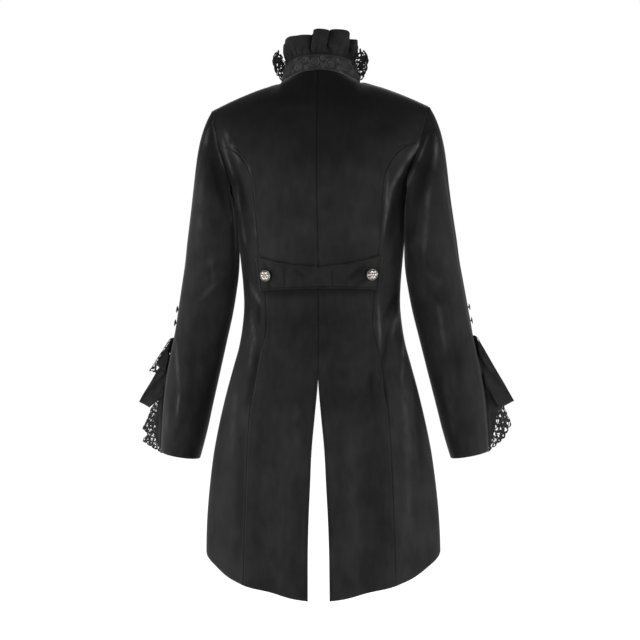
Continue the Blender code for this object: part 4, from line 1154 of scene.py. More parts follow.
def kept_cells(field):
    """Corners and faces of the part of a grid where the field is above 0. A corner is two places
    of the grid and the share of the way between them."""
    columns = field.shape[1]
    value = field.ravel()
    corners, found, faces = [], {}, []

    def corner(p, q):
        key = (min(p, q), max(p, q))
        if key not in found:
            found[key] = len(corners)
            a, b = key
            share = 0.0 if a == b else value[a] / (value[a] - value[b])
            corners.append((a, b, share))
        return found[key]

    inside = field > 0
    live = inside[:-1, :-1] | inside[1:, :-1] | inside[:-1, 1:] | inside[1:, 1:]
    flat = inside.ravel()
    for r, c in zip(*np.nonzero(live)):
        a = r * columns + c
        ring = (a, a + 1, a + 1 + columns, a + columns)
        face = []
        for p, q in zip(ring, ring[1:] + ring[:1]):
            if flat[p]:
                face.append(corner(p, p))
            if flat[p] != flat[q]:
                face.append(corner(p, q))
        faces.append(face)
    return corners, faces


def cloth_piece(name, points, normals, thickness, material, side=1, field=None, marks=None):
    """A closed sheet of cloth about a grid of points, cut away where a field is 0 or less.
    Returns the piece and the share of the cloth that is kept, with its cut edges."""
    uv = np.stack([lengths_along(points, 1), lengths_along(points, 0)], axis=-1).reshape(-1, 2)
    grid, facing = points.reshape(-1, 3), normals.reshape(-1, 3)
    corners, faces = grid_cells(points.shape) if field is None else kept_cells(field)
    a, b = np.array([c[:2] for c in corners]).T
    share = np.array([c[2] for c in corners])[:, None]
    middle = grid[a] * (1 - share) + grid[b] * share
    out = unit(facing[a] * (1 - share) + facing[b] * share) * thickness / 2
    uv = uv[a] * (1 - share) + uv[b] * share
    count = len(corners)
    rim = set()
    for face in faces:
        for i, j in zip(face, face[1:] + face[:1]):
            if (j, i) in rim:
                rim.remove((j, i))
            else:
                rim.add((i, j))
    back = [[i + count for i in reversed(face)] for face in faces]
    edge = [[j, i, i + count, j + count] for i, j in sorted(rim)]
    whole = faces + back + edge
    if side * turned(points, normals) < 0:
        whole = [face[::-1] for face in whole]
    body = np.concatenate([middle + out, middle - out]) * np.array([side, 1, 1])
    if marks is not None:
        marks = np.asarray(marks).ravel()
        marks = marks[a] * (1 - share[:, 0]) + marks[b] * share[:, 0]
        marks = np.concatenate([marks, marks])
    piece = mesh_piece(name, body, whole, material, np.concatenate([uv, uv]), marks)
    return piece, 1.0 if field is None else polygon_area(body, whole) / 2 / grid_area(points)


def polygon_area(points, faces):
    """The area of all faces."""
    area = 0.0
    for face in faces:
        p = points[face]
        area += np.linalg.norm(np.cross(p[1:-1] - p[0], p[2:] - p[0]).sum(axis=0)) / 2
    return area


def grid_area(points):
    """The area of a grid's cells."""
    a, b = points[1:, 1:] - points[:-1, :-1], points[:-1, 1:] - points[1:, :-1]
    return float(np.linalg.norm(np.cross(a, b), axis=-1).sum()) / 2


NARROWEST_CUT = 0.0101
LEAST_FILL = 0.5


def declare(points, node, kept=1.0):
    """Hides the part that a piece replaces, after working out the size that its cloth was cut to,
    which is not kept.
    """
    across, along = lengths_along(points, 1), lengths_along(points, 0)
    area = grid_area(points) * kept
    width, length = float(across[:, -1].max()), float(along[-1].max())
    length = max(min(length, area / (LEAST_FILL * width)), NARROWEST_CUT)
    area = min(max(area, 0.31 * width * length), width * length)
    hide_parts(node)


def new_shader(name):
    """A new material, its tree and its surface's node."""
    material = bpy.data.materials.new(name)
    material.use_nodes = True
    return material, material.node_tree, material.node_tree.nodes["Principled BSDF"]


def noise_node(tree, scale, detail=2.0, stretch=(1, 1, 1)):
    """Noise over the coat's own space. Returns its value's socket."""
    place = tree.nodes.new("ShaderNodeTexCoord")
    mapping = tree.nodes.new("ShaderNodeMapping")
    mapping.inputs["Scale"].default_value = stretch
    noise = tree.nodes.new("ShaderNodeTexNoise")
    noise.inputs["Scale"].default_value = scale
    noise.inputs["Detail"].default_value = detail
    tree.links.new(place.outputs["Object"], mapping.inputs["Vector"])
    tree.links.new(mapping.outputs["Vector"], noise.inputs["Vector"])
    return noise.outputs["Fac"]


def math_node(tree, operation, first, second=0.0, third=0.0):
    """A sum of up to three numbers or sockets. Returns its socket."""
    node = tree.nodes.new("ShaderNodeMath")
    node.operation = operation
    for socket, value in zip(node.inputs, (first, second, third)):
        if isinstance(value, (int, float)):
            socket.default_value = value
        else:
            tree.links.new(value, socket)
    return node.outputs["Value"]


def mix_node(tree, share, first, second):
    """A colour between two others, each a colour or a socket."""
    node = tree.nodes.new("ShaderNodeMix")
    node.data_type = "RGBA"
    for name, value in (("Factor_Float", share), ("A_Color", first), ("B_Color", second)):
        socket = next(s for s in node.inputs if s.identifier == name)
        if isinstance(value, tuple):
            socket.default_value = (*value, 1.0)
        elif isinstance(value, float):
            socket.default_value = value
        else:
            tree.links.new(value, socket)
    return next(s for s in node.outputs if s.identifier == "Result_Color")


def ramp_node(tree, value, low, high):
    """0 at the low value and 1 at the high one."""
    node = tree.nodes.new("ShaderNodeMapRange")
    node.inputs["From Min"].default_value = low
    node.inputs["From Max"].default_value = high
    tree.links.new(value, node.inputs["Value"])
    return node.outputs["Result"]


def figure_node(tree):
    """The number that each point of a piece holds as figure."""
    node = tree.nodes.new("ShaderNodeAttribute")
    node.attribute_name = "figure"
    return node.outputs["Fac"]


def bump_node(tree, surface, height, distance, strength=1.0):
    """Raises the surface by a height's socket times a distance."""
    node = tree.nodes.new("ShaderNodeBump")
    node.inputs["Strength"].default_value = strength
    node.inputs["Distance"].default_value = distance
    tree.links.new(height, node.inputs["Height"])
    tree.links.new(node.outputs["Normal"], surface.inputs["Normal"])


def set_finish(surface, roughness, specular, sheen=0.0, sheen_roughness=0.3, tint=(1, 1, 1)):
    """How rough and how bright a cloth is, and its sheen."""
    surface.inputs["Roughness"].default_value = roughness
    surface.inputs["Specular IOR Level"].default_value = specular
    surface.inputs["Sheen Weight"].default_value = sheen
    surface.inputs["Sheen Roughness"].default_value = sheen_roughness
    surface.inputs["Sheen Tint"].default_value = (*tint, 1.0)


def velvet_material():
    """Black velvet: the nap lies in soft patches. Painted highlights lie along the ridges of the
    folds, and painted shade lies in the troughs, in the seams, below the belt and up the back."""
    material, tree, surface = new_shader("velvet_nap_painted_light")
    patches = ramp_node(tree, noise_node(tree, 17.0, 4.0), 0.36, 0.66)
    streaks = ramp_node(tree, noise_node(tree, 95.0, 3.0, (1, 1, 0.35)), 0.34, 0.70)
    nap_and_painted_light = math_node(tree, "MULTIPLY_ADD", streaks, 0.42, math_node(tree, "MULTIPLY", patches, 0.58))
    colour = mix_node(tree, nap_and_painted_light, (0.0042, 0.0042, 0.0045), (0.0112, 0.0112, 0.0116))
    # Painted shade: the colour darkens up the back towards the neck, standing in for shade on the
    # cloth that faces up.
    place = tree.nodes.new("ShaderNodeTexCoord")
    split = tree.nodes.new("ShaderNodeSeparateXYZ")
    tree.links.new(place.outputs["Object"], split.inputs["Vector"])
    high = math_node(tree, "MULTIPLY", ramp_node(tree, split.outputs["Z"], -0.20, -0.04), 0.75)
    colour = mix_node(tree, high, colour, (0.0012, 0.0012, 0.0014))
    figure = figure_node(tree)
    # Painted highlight along the ridges of the folds.
    painted_ridge_highlight = math_node(tree, "MULTIPLY", math_node(tree, "MAXIMUM", figure, -1.0), -1.0)
    painted_ridge_highlight = math_node(tree, "MAXIMUM", math_node(tree, "MULTIPLY", painted_ridge_highlight, painted_highlight_share(tree)), 0.0)
    colour = mix_node(tree, painted_ridge_highlight, colour, (0.0400, 0.0400, 0.0410))
    # Painted shade in the troughs, the seams, the stitch lines and below the belt.
    colour = mix_node(tree, math_node(tree, "MAXIMUM", figure, 0.0), colour, (0.0005, 0.0005, 0.0005))
    tree.links.new(colour, surface.inputs["Base Color"])
    pile = noise_node(tree, 1100.0)
    bump_node(tree, surface, pile, 0.0004, 0.5)
    set_finish(surface, 0.76, 0.10, 0.20, 0.30, (0.85, 0.86, 0.90))
    return material


def painted_highlight_share(tree):
    """How strong a ridge's painted highlight is, which comes and goes along it."""
    return ramp_node(tree, noise_node(tree, 60.0, 4.0, (1, 1, 0.6)), 0.30, 0.60)


def weave_material(name, dark, light, threads, figure=None):
    """A plain weave, whose warp and weft show as fine ribs along the cloth. figure is the colour
    where the piece's marks are 1."""
    material, tree, surface = new_shader(name)
    uv = tree.nodes.new("ShaderNodeTexCoord")
    split = tree.nodes.new("ShaderNodeSeparateXYZ")
    tree.links.new(uv.outputs["UV"], split.inputs["Vector"])
    warp = math_node(tree, "SINE", math_node(tree, "MULTIPLY", split.outputs["X"], threads))
    weft = math_node(tree, "SINE", math_node(tree, "MULTIPLY", split.outputs["Y"], threads))
    weave = math_node(tree, "MULTIPLY", warp, weft)
    tone = ramp_node(tree, noise_node(tree, 45.0, 3.0), 0.35, 0.68)
    ground = mix_node(tree, tone, dark, light)
    if figure is not None:
        ground = mix_node(tree, figure_node(tree), ground, figure)
    tree.links.new(ground, surface.inputs["Base Color"])
    bump_node(tree, surface, weave, 0.0002, 0.6)
    return material, tree, surface


def brocade_material():
    """Black ground with a raised grey leaf scroll."""
    material, tree, surface = weave_material(
        "brocade_scroll", (0.0040, 0.0040, 0.0044), (0.0085, 0.0085, 0.0090), 7000.0
    )
    ground = surface.inputs["Base Color"].links[0].from_socket
    sheen = ramp_node(tree, noise_node(tree, 110.0, 3.0), 0.34, 0.68)
    thread = mix_node(tree, sheen, (0.0120, 0.0120, 0.0125), (0.046, 0.046, 0.048))
    tree.links.new(mix_node(tree, figure_node(tree), ground, thread), surface.inputs["Base Color"])
    set_finish(surface, 0.55, 0.15)
    return material


def silver_material():
    """Antique silver, dark in the hollows of its relief."""
    material, tree, surface = new_shader("antique_silver")
    tarnish = ramp_node(tree, noise_node(tree, 420.0, 3.0), 0.35, 0.75)
    bright = mix_node(tree, tarnish, (0.36, 0.34, 0.31), (0.17, 0.155, 0.135))
    colour = mix_node(tree, figure_node(tree), bright, (0.024, 0.021, 0.017))
    tree.links.new(colour, surface.inputs["Base Color"])
    surface.inputs["Metallic"].default_value = 1.0
    surface.inputs["Roughness"].default_value = 0.28
    bump_node(tree, surface, noise_node(tree, 2600.0), 0.00008, 0.5)
    return material


def paper_material():
    """White paper that glows a little, so that it shows no shadow."""
    material, tree, surface = new_shader("studio_paper")
    tone = ramp_node(tree, noise_node(tree, 3.0), 0.2, 0.8)
    colour = mix_node(tree, tone, (0.88, 0.88, 0.88), (0.91, 0.91, 0.91))
    tree.links.new(colour, surface.inputs["Base Color"])
    surface.inputs["Emission Color"].default_value = (1, 1, 1, 1)
    surface.inputs["Emission Strength"].default_value = PAPER_GLOW
    set_finish(surface, 0.95, 0.1)
    return material


def make_materials():
    """The coat's materials, by the name of their slot."""
    # The ruffle's near-black figure colour is painted shade in its creases and gathers.
    ruffle, _, surface = weave_material(
        "ruffle_weave", (0.0050, 0.0050, 0.0053), (0.0105, 0.0105, 0.0110), 9000.0,
        (0.0010, 0.0010, 0.0010),
    )
    set_finish(surface, 0.75, 0.10, 0.05, 0.4)
    lace, _, surface = weave_material(
        "lace_cord", (0.0045, 0.0045, 0.0045), (0.0100, 0.0100, 0.0100), 12000.0
    )
    set_finish(surface, 0.7, 0.12, 0.05, 0.4)
    return {
        "velvet": velvet_material(),
        "brocade": brocade_material(),
        "ruffle_cloth": ruffle,
        "lace": lace,
        "metal": silver_material(),
    }


# The row of stitches along the hems and the vent, inside their edges.
STITCH_AWAY = 0.0042
STITCH_WIDTH = 0.0007
STITCH_DIP = 0.0006


def belt_painted_shadow(x, z):
    """Painted shadow of the belt: dark under the belt and in a narrow band below its lower edge."""
    edge = BELT("bottom", 0.09) + 0.0018 * (1 - (np.abs(x) / 0.09) ** 2)
    deep = np.where(z > edge, z < edge + 0.03, bell(z - edge, np.where(x < 0, 0.0062, 0.0042)))
    return deep * ease((BELT_HALF[0] - np.abs(x)) / 0.004 + 0.5)


def dressed(name, grids, normals, side):
    """A panel's fine grid on one side of the coat, with its folds and the dips of its seams, and the
    light painted there: up to 1 for painted shade in seams, stitches, troughs and below the belt, and
    down to -1 for a painted highlight on a ridge."""
    points, facing = grids[name], normals[name]
    if name == "front":
        points = lapped(points, facing, side)
    rows, columns = points.shape[:2]
    sleeve = name.startswith("sleeve")
    row_marks = even_marks(rows, BACK_ROW_STEPS if name == "back" else ROW_STEPS)
    points, facing = fine_grid(points, facing, row_marks, seam_marks(columns, COLUMN_STEPS))
    away = seam_away(points, ("last",) if name == "front" else ("first", "last"))
    low = points[..., 2]
    open_edge = ease((-0.515 - low) / 0.02) if name == "back" else np.zeros(low.shape)
    if name == "back":
        inner = lengths_along(points, 1)
        outer = inner[:, -1:] - inner
        away = np.where(inner < outer, inner + open_edge, away)
        stitches = open_edge * bell(inner - STITCH_AWAY, STITCH_WIDTH)
    else:
        stitches = np.zeros(low.shape)
    dip = SEAM_DIP * bell(away, SEAM_WIDTH) - SEAM_ROLL * bell(away - SEAM_ROLL_AWAY, SEAM_WIDTH)
    dip = dip + STITCH_DIP * stitches
    # Painted shade in the dips of the seams and of the vent's stitches.
    dark = np.clip(0.60 * bell(away, 0.7 * SEAM_WIDTH) + 0.4 * stitches, 0.0, 1.0)
    face = name if sleeve else ("back" if "back" in name else "front")
    ahead = facing[..., 1] * (-1 if "back" in name else 1)
    folds, nap_and_painted_light = fold_lift(face, points * np.array([side, 1, 1]))
    folds = folds * ease((ahead - 0.12) / 0.35)
    nap_and_painted_light = np.clip(nap_and_painted_light * ease(ahead / 0.2), -1.0, 0.6) * np.clip(away / 0.003, 0.0, 1.0)
    nap_and_painted_light = np.where(dark > 0.15, dark, nap_and_painted_light * (1 - dark / 0.15))
    # Painted shadow below the belt's lower edge.
    if "back" in name and not sleeve:
        painted_belt_shadow = belt_painted_shadow(points[..., 0] * side, low)
        nap_and_painted_light = np.where(painted_belt_shadow > 0.02, np.maximum(nap_and_painted_light, painted_belt_shadow), nap_and_painted_light)
    return points + facing * (folds - dip)[..., None], facing, nap_and_painted_light


def make_panels(grids, normals):
    """The velvet panels and sleeves, on both sides."""
    for name in PANEL_EDGES:
        for side, word in ((1, "right"), (-1, "left")):
            points, facing, dark = dressed(name, grids, normals, side)
            piece, _ = cloth_piece(
                f"{name}_cloth_{word}", points, facing, VELVET, materials["velvet"], side, None, dark
            )
            declare(points, f"{name}_{word}")


# The brocade's scroll: the length of its repeat, the height of its raised threads, the half
# width of its stem, as a share of the band's height, and the rows and columns of its grid.
SCROLL_REPEAT = 0.0560
SCROLL_RELIEF = 0.00030
SCROLL_STEM = 0.034
BAND_ROWS = 40
BAND_COLUMNS = 520


def leaf(x, y, x0, y0, angle, length, width):
    """Above 0 inside a leaf, pointed at both ends, that lies about a place at an angle."""
    cos, sin = math.cos(math.radians(angle)), math.sin(math.radians(angle))
    along, across = (x - x0) * cos + (y - y0) * sin, (y - y0) * cos - (x - x0) * sin
    room = np.clip(1.0 - (2 * along / length) ** 2, 0.0, 1.0)
    return np.where(np.abs(2 * along) < length, room * width / 2 - np.abs(across), -length)


def curl(x, y, x0, y0, size, stem, hand, turn=0.0):
    """Above 0 inside a stem that curls in twice round a place."""
    r = np.hypot(x - x0, y - y0)
    angle = (np.arctan2(y - y0, (x - x0) * hand) - turn) / (2 * math.pi) % 1.0
    inside = np.full(r.shape, -size)
    for lap in range(3):
        reach = size * 0.52 ** (angle + lap)
        inside = np.maximum(inside, stem * (0.5 + 0.5 * reach / size) - np.abs(r - reach))
    return np.where(r < size * 1.1, inside, -size)


def flower(x, y, x0, y0, size, petals=5, turn=0.0):
    """Above 0 inside a round flower with an open eye."""
    r = np.hypot(x - x0, y - y0)
    angle = np.arctan2(y - y0, x - x0) + turn
    edge = size * (0.45 + 0.55 * np.abs(np.cos(petals * angle / 2)) ** 0.7)
    return np.minimum(edge - r, r - 0.16 * size)


def scroll_figure(u, v):
    """The brocade's figure over a band whose height is 1: above 0 on a raised thread."""
    u = u % 2.0
    inside = np.full(u.shape, -1.0)
    for shift in (-2.0, 0.0, 2.0):
        x = u + shift
        inside = np.maximum(inside, curl(x, v, 0.45, 0.42, 0.36, SCROLL_STEM, 1, 0.4))
        inside = np.maximum(inside, curl(x, v, 1.45, 0.58, 0.36, SCROLL_STEM, 1, 3.5))
        inside = np.maximum(inside, flower(x, v, 0.97, 0.24, 0.19))
        inside = np.maximum(inside, flower(x, v, 1.97, 0.76, 0.19, 5, 0.6))
        for x0, y0, angle, length, width in (
            (0.92, 0.70, 62.0, 0.46, 0.17),
            (1.10, 0.62, 112.0, 0.34, 0.12),
            (0.76, 0.84, 20.0, 0.26, 0.10),
            (1.92, 0.30, -62.0, 0.46, 0.17),
            (2.10, 0.38, -112.0, 0.34, 0.12),
            (1.76, 0.16, -20.0, 0.26, 0.10),
            (0.16, 0.90, 15.0, 0.30, 0.10),
            (1.16, 0.10, -15.0, 0.30, 0.10),
        ):
            vein = 0.014 - np.abs(v - y0 - (x - x0) * math.tan(math.radians(angle)))
            blade = leaf(x, v, x0, y0, angle, length, width)
            inside = np.maximum(inside, np.where(vein > 0, -vein, blade))
    return inside


def make_collar(grids, normals):
    """The brocade band, with its figure raised and its top edge turned."""
    points, facing = grids["collar"], normals["collar"]
    rows = np.linspace(0.0, points.shape[0] - 1, BAND_ROWS)
    columns = np.linspace(0.0, points.shape[1] - 1, BAND_COLUMNS)
    points, facing = fine_grid(points, facing, rows, columns)
    u = lengths_along(points, 1)[BAND_ROWS // 2] / SCROLL_REPEAT * 2.0
    v = np.linspace(0.0, 1.0, len(points))
    figure = scroll_figure(*np.meshgrid(u, v))
    raised = ease(figure / 0.03 + 0.5)
    raised *= ((v > 0.05) & (v < 0.93))[:, None]
    lift = SCROLL_RELIEF * raised + 0.0008 * bell(v - 0.97, 0.03)[:, None]
    lift -= 0.0010 * bell(v, 0.06)[:, None]
    points = points + facing * lift[..., None]
    piece, _ = cloth_piece(
        "collar_band_cloth", points, facing, VELVET, materials["brocade"], 1, None, raised
    )
    declare(points, "collar_band")


# The ruffle's grid, half the width of its creases in degrees, and the small gathers at its foot.
RUFFLE_COLUMNS = 520
ROWS_INSIDE = 8
ROWS_STANDING = 34
CREASE_WIDTH = 2.6
CREASE_DEPTH = 0.0034
GATHER_DEPTH = 0.0016
GATHERS = (-76.0, -63.0, -49.0, -38.0, -27.0, -3.0, 4.0, 11.0, 30.0, 43.0, 57.0, 77.0, 99.0, -101.0)


def make_ruffle():
    """The standing ruffle, with its creases and the gathers at its foot, and painted shade in both.
    """
    angles = np.linspace(CREASES[0], CREASES[-1], RUFFLE_COLUMNS)
    inside = np.linspace(-1.0, 0.0, ROWS_INSIDE)[:-1]
    shares = np.concatenate([inside, np.linspace(0.0, 1.0, ROWS_STANDING)])
    rows, dark = [], []
    for share in shares:
        free = float(ease(share / 0.5))
        slanted = angles + CREASE_SLANT * (1.0 - share) * free
        off = np.min([np.abs(slanted - c) for c in CREASES], axis=0)
        low = math.sin(math.pi * min(max(share / 0.55, 0.0), 1.0))
        pinched = np.max([bell(angles - 6.0 * share - g, 2.4) for g in GATHERS], axis=0)
        lift = -free * CREASE_DEPTH * bell(off, CREASE_WIDTH) - low * GATHER_DEPTH * pinched
        lift += 0.0008 * free * np.sin(angles * 0.21 + 5.0 * share)
        rows.append(neck_ruffle_row(angles, share) + level_outward(angles) * lift[:, None])
        # Painted shade in the creases and the gathers.
        dark.append(np.clip(free * bell(off, 1.6) + 0.5 * low * pinched, 0.0, 1.0))
    points = np.array(rows)
    facing = outward_normals(points)
    piece, _ = cloth_piece(
        "collar_ruffle_cloth", points, facing, RUFFLE_CLOTH, materials["ruffle_cloth"], 1, None,
        np.array(dark),
    )
    declare(points, "collar_ruffle")


# The lace: the size of a mesh of its cutting grid, the half width of its finest cord, the width
# of its sewn edge, the depth of its scallops, and the rows and columns that the frill is drawn by.
LACE_MESH = 0.00073
CORD = 0.00055
SEWN_EDGE = 0.0016
SCALLOP = 0.0034
FRILL_GRID = (20, 200)


# How far apart the holes of each lace are, and half of one as a share of that.
LACE_HOLES = {
    "collar": (0.0128, 0.450),
    "cuff_lace_lower_left": (0.0115, 0.185),
    "cuff_lace_lower_right": (0.0115, 0.215),
    "other": (0.0110, 0.330),
}


def lace_field(points, pitch, open_share):
    """Where a strip of lace has thread: cords round open holes of uneven size and shape, with a
    twig across some of them, over a scalloped edge."""
    along, across = lengths_along(points, 0), lengths_along(points, 1)
    depth = np.maximum(along[-1:], 1e-6)
    middle = across[len(across) // 2]
    pitch = middle[-1] / max(round(float(middle[-1]) / pitch), 1)
    x, y = np.broadcast_to(middle, along.shape), along
    edge = depth - np.minimum(SCALLOP, 0.3 * depth) * (1 - np.abs(np.sin(math.pi * x / pitch)) ** 0.6)
    levels = max(round(float(depth.max()) / (0.87 * pitch)), 1)
    level = depth / levels
    row = np.clip(np.floor(y / level), 0, levels - 1)
    cell = x / pitch + 0.5 * (row % 2)
    number = np.floor(cell)
    u, v = (cell - number - 0.5) * pitch, (y / level - row - 0.5) * level
    uneven = np.sin(7.3 * number + 4.1 * row)
    wide = pitch * np.maximum(open_share + 0.11 * uneven, 0.10)
    high = np.minimum(wide, 0.43 * level)
    turn = np.arctan2(v, u)
    leafy = 1.0 + 0.26 * np.cos(3 * turn + 2.4 * number + row)
    field = (np.hypot(u / wide, v / high) - leafy) * np.minimum(wide, high)
    lean = 1.9 * number + 0.7 * row
    twig = CORD - np.abs(u * np.sin(lean) - v * np.cos(lean))
    field = np.maximum(field, np.where(uneven > 0.45, twig, -1.0))
    field = np.maximum(field, SEWN_EDGE - y)
    field = np.maximum(field, CORD * 1.6 - np.abs(edge - y - CORD * 1.6))
    eyelet = np.hypot((np.abs(u) - 0.5 * pitch), (np.abs(v) - 0.5 * level)) - 0.0011
    return np.minimum(np.minimum(field, eyelet), edge - y)


def lace_marks(points, axis):
    """Marks for a grid of points along an axis, a mesh of the cutting grid apart."""
    length = float(lengths_along(points, axis).max())
    count = points.shape[axis]
    return np.linspace(0.0, count - 1.0, max(int(length / LACE_MESH), 8) + 1)


def make_lace(name, points, facing, side, holes, node):
    """A strip of lace. holes is how far apart its holes are, and half of one as a share of that."""
    rows, columns = lace_marks(points, 0), lace_marks(points, 1)
    points, facing = fine_grid(points, facing, rows, columns)
    field = lace_field(points, *holes)
    piece, kept = cloth_piece(name, points, facing, LACE, materials["lace"], side, field)
    declare(points, node, kept)


def make_frill():
    """The lace frill on both sides of the collar."""
    angles = np.linspace(FRILL_START, FRILL_END, FRILL_GRID[1])
    points = np.array([frill_row(angles, s) for s in np.linspace(0.0, 1.0, FRILL_GRID[0])])
    facing = grid_normals(points)
    for side, word in ((1, "right"), (-1, "left")):
        name = f"collar_lace_{word}"
        holes = LACE_HOLES["collar"]
        make_lace(f"{name}_cut", points, facing, side, holes, name)


def make_tiers(grids, normals):
    """The tiers in each cuff's slit, and the lace on the upper and the lower ones."""
    for tier in TIERS:
        for side, word in ((1, "right"), (-1, "left")):
            sheet, edging = tier_grid(tier, word, grids, normals)
            laced = tier != "middle"
            whole = np.concatenate([sheet, edging[1:]]) if laced else sheet
            facing = grid_normals(whole)
            rows, columns = sheet.shape[:2]
            row_marks = even_marks(rows, TIER_STEPS[0])
            column_marks = even_marks(columns, TIER_STEPS[1])
            points, own = fine_grid(sheet, facing[:rows], row_marks, column_marks, evened)
            node = f"cuff_ruffle_{tier}_{word}"
            piece, _ = cloth_piece(
                f"{node}_cloth", points, own, RUFFLE_CLOTH, materials["ruffle_cloth"], side
            )
            declare(points, node)
            if laced:
                own = facing[rows - 1 :]
                node = f"cuff_lace_{tier}_{word}"
                holes = LACE_HOLES.get(node, LACE_HOLES["other"])
                make_lace(f"{node}_cut", edging, own, side, holes, node)


def make_belt(grids):
    """The half belt, with its stitched and rolled edges, painted shade in its stitch lines and along
    its lower edge, and painted highlights and shade on its folds.
    """
    points = belt_grid(grids)
    facing = grid_normals(points)
    rows, columns = points.shape[:2]
    row_marks = even_marks(rows, BELT_STEPS[0])
    column_marks = even_marks(columns, BELT_STEPS[1])
    points, facing = fine_grid(points, facing, row_marks, column_marks)
    away = seam_away(points, ("first", "last", "top", "bottom"))
    stitches = bell(away - STITCH_AWAY, STITCH_WIDTH)
    folds, nap_and_painted_light = fold_lift("belt", points)
    lift = folds + 0.0012 * bell(away - 0.0020, 0.0014) - STITCH_DIP * stitches
    points = points + facing * lift[..., None]
    # Painted shade in the stitch lines and along the lower edge, and painted highlights and shade on
    # the folds.
    dark = np.where(away < 0.0052, 0.45 * stitches, np.clip(nap_and_painted_light, -0.8, 0.6))
    below = seam_away(points, ("bottom",))
    dark = np.maximum(dark, 0.9 * bell(below, 0.0016))
    piece, _ = cloth_piece(
        "half_belt_cloth", points, facing, VELVET, materials["velvet"], 1, None, dark
    )
    declare(points, "half_belt")


# A button's sections from the foot of its shank to its face, as shares of its radius, and the
# rings and spokes of its cast face.
SHANK = ((0.0, 0.0), (0.28, 0.0), (0.28, 0.22), (0.90, 0.32), (0.985, 0.36), (1.0, 0.41))
SHANK_DARK = 0.7
FACE_FOOT = 0.43
HOLLOW = 0.10
FACE_RINGS = 26
BUTTON_SPOKES = 60
PETALS = 6


def face_height(r, angle):
    """Height of the cast face above its edge: a beaded rim round a rosette with a domed eye."""
    rim = 0.085 * bell(r - 0.90, 0.065) * (0.80 + 0.20 * np.cos(22 * angle))
    petal = np.abs(np.cos(PETALS * angle / 2)) ** 0.55
    outer = 0.125 * petal * np.sin(math.pi * np.clip((r - 0.22) / 0.58, 0, 1)) ** 0.7
    eye = 0.16 * np.sqrt(np.clip(1 - (r / 0.22) ** 2, 0, 1))
    return 0.06 * (1 - r) + np.maximum(np.maximum(rim, outer), eye)


def button_place(node):
    """Foot, outward direction and radius of a button's solid."""
    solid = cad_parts[node]
    points = np.array([solid.matrix_world @ v.co for v in solid.data.vertices])
    middle = points.mean(axis=0)
    axis = np.linalg.svd(points - middle)[2][-1]
    height = (points - middle) @ axis
    reach = np.linalg.norm(points - middle - height[:, None] * axis, axis=1)
    if np.corrcoef(height, reach)[0, 1] < 0:
        axis, height = -axis, -height
    return middle + axis * height.min(), axis, reach.max()


def make_button(node):
    """A cast button on its shank, at the place of its solid."""
    foot, axis, radius = button_place(node)
    angles = np.arange(BUTTON_SPOKES) * 2 * math.pi / BUTTON_SPOKES
    even = np.ones(BUTTON_SPOKES)
    rings = [(r, h * even, SHANK_DARK * even) for r, h in SHANK]
    for r in np.linspace(0.985, 0.0, FACE_RINGS):
        relief = face_height(r, angles)
        rings.append((r, FACE_FOOT + relief, np.clip((HOLLOW - relief) / 0.07, 0.0, 1.0)))
    turn = np.array(Vector(axis).to_track_quat("Z", "Y").to_matrix())
    points, marks = [], []
    for r, h, dark in rings:
        local = np.stack([r * np.cos(angles), r * np.sin(angles), h], axis=-1) * radius
        points.append(foot + local @ turn.T)
        marks.append(dark)
    faces = []
    for i in range(len(rings) - 1):
        for j in range(BUTTON_SPOKES):
            k = (j + 1) % BUTTON_SPOKES
            a, b = i * BUTTON_SPOKES, (i + 1) * BUTTON_SPOKES
            faces.append((a + j, a + k, b + k, b + j))
    piece = mesh_piece(
        f"{node}_cast", np.concatenate(points), faces, materials["metal"], None, np.concatenate(marks)
    )
    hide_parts(node)


# The camera stands where the photograph's did, a little to the wearer's right of straight behind.
CAMERA_DISTANCE = 2.6
CAMERA_HEIGHT = -0.422
CAMERA_YAW = math.radians(4.0)
CAMERA_ROLL = math.radians(-0.47)
FRAME_WIDTH = 1.139
SENSOR_WIDTH = 36.0
MIDDLE_PIXEL = 2.2
PHOTO_WIDTH = 640


def make_camera():
    """The photograph's camera."""
    data = bpy.data.cameras.new("camera")
    data.sensor_width = SENSOR_WIDTH
    data.lens = SENSOR_WIDTH * CAMERA_DISTANCE / FRAME_WIDTH
    data.shift_x = -MIDDLE_PIXEL / PHOTO_WIDTH
    camera = bpy.data.objects.new("camera", data)
    place = Vector((math.sin(CAMERA_YAW), -math.cos(CAMERA_YAW), 0.0)) * CAMERA_DISTANCE
    turn = Euler((math.pi / 2, 0.0, CAMERA_YAW)).to_matrix() @ Matrix.Rotation(CAMERA_ROLL, 3, "Z")
    camera.matrix_world = Matrix.LocRotScale(place + Vector((0, 0, CAMERA_HEIGHT)), turn, None)
    bpy.context.scene.collection.objects.link(camera)
    bpy.context.scene.camera = camera


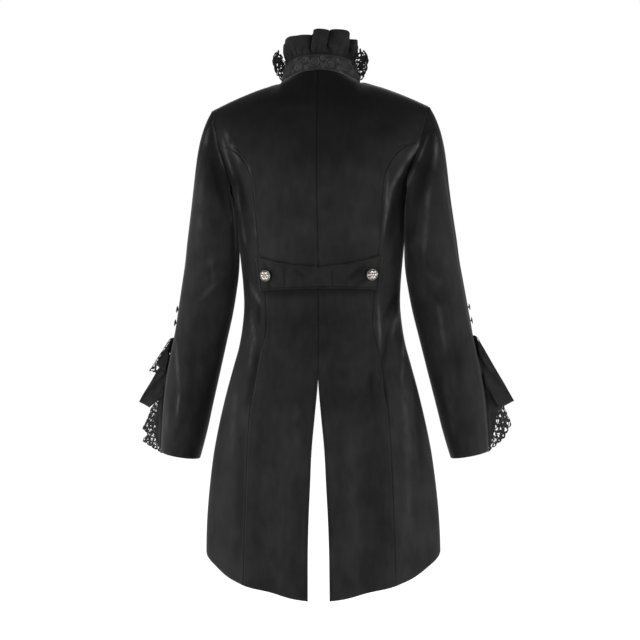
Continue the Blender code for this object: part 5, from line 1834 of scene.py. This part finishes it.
# The studio: the floor's height, half width and glow, the share of the sky's light that falls on
# the coat, where the lights point, and the place, size in metres and power in watts of each.
FLOOR_Z = -1.42
FLOOR_HALF = 8.0
PAPER_GLOW = 0.98
AMBIENT = 0.14
LIGHTS_MEET = (0.0, 0.0, -0.4)
LIGHTS = (
    ("key", (-1.5, -2.7, -0.2), 1.0, 55.0),
    ("fill", (2.2, -2.1, -0.4), 1.4, 32.0),
    ("left_rim", (-2.6, -0.2, -0.3), 1.0, 45.0),
    ("right_rim", (2.6, -0.2, -0.3), 1.0, 45.0),
)


def make_studio():
    """A pale floor under a white sky, and soft lights."""
    ends = (-FLOOR_HALF, FLOOR_HALF)
    points = [(x, y, FLOOR_Z) for y in ends for x in ends]
    mesh = bpy.data.meshes.new("studio_floor")
    mesh.from_pydata(points, [], [(0, 1, 3, 2)])
    mesh.materials.append(paper_material())
    floor = bpy.data.objects.new("studio_floor", mesh)
    bpy.context.scene.collection.objects.link(floor)
    world = bpy.data.worlds.new("studio")
    world.use_nodes = True
    background = world.node_tree.nodes["Background"]
    background.inputs["Color"].default_value = (1, 1, 1, 1)
    path = world.node_tree.nodes.new("ShaderNodeLightPath")
    seen = path.outputs["Is Camera Ray"]
    strength = math_node(world.node_tree, "MULTIPLY_ADD", seen, 1.0 - AMBIENT, AMBIENT)
    world.node_tree.links.new(strength, background.inputs["Strength"])
    bpy.context.scene.world = world
    for name, place, size, power in LIGHTS:
        light = bpy.data.lights.new(name, "AREA")
        light.size, light.energy = size, power
        lamp = bpy.data.objects.new(name, light)
        lamp.location = place
        aim = Vector(LIGHTS_MEET) - Vector(place)
        lamp.rotation_euler = aim.to_track_quat("-Z", "Y").to_euler()
        bpy.context.scene.collection.objects.link(lamp)
    bpy.context.scene.view_settings.view_transform = "Standard"


grids, normals = body_grids()
materials = make_materials()
make_camera()
make_panels(grids, normals)
make_collar(grids, normals)
make_ruffle()
make_frill()
make_tiers(grids, normals)
make_belt(grids)
for node in sorted(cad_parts):
    if "button" in node:
        make_button(node)
make_studio()
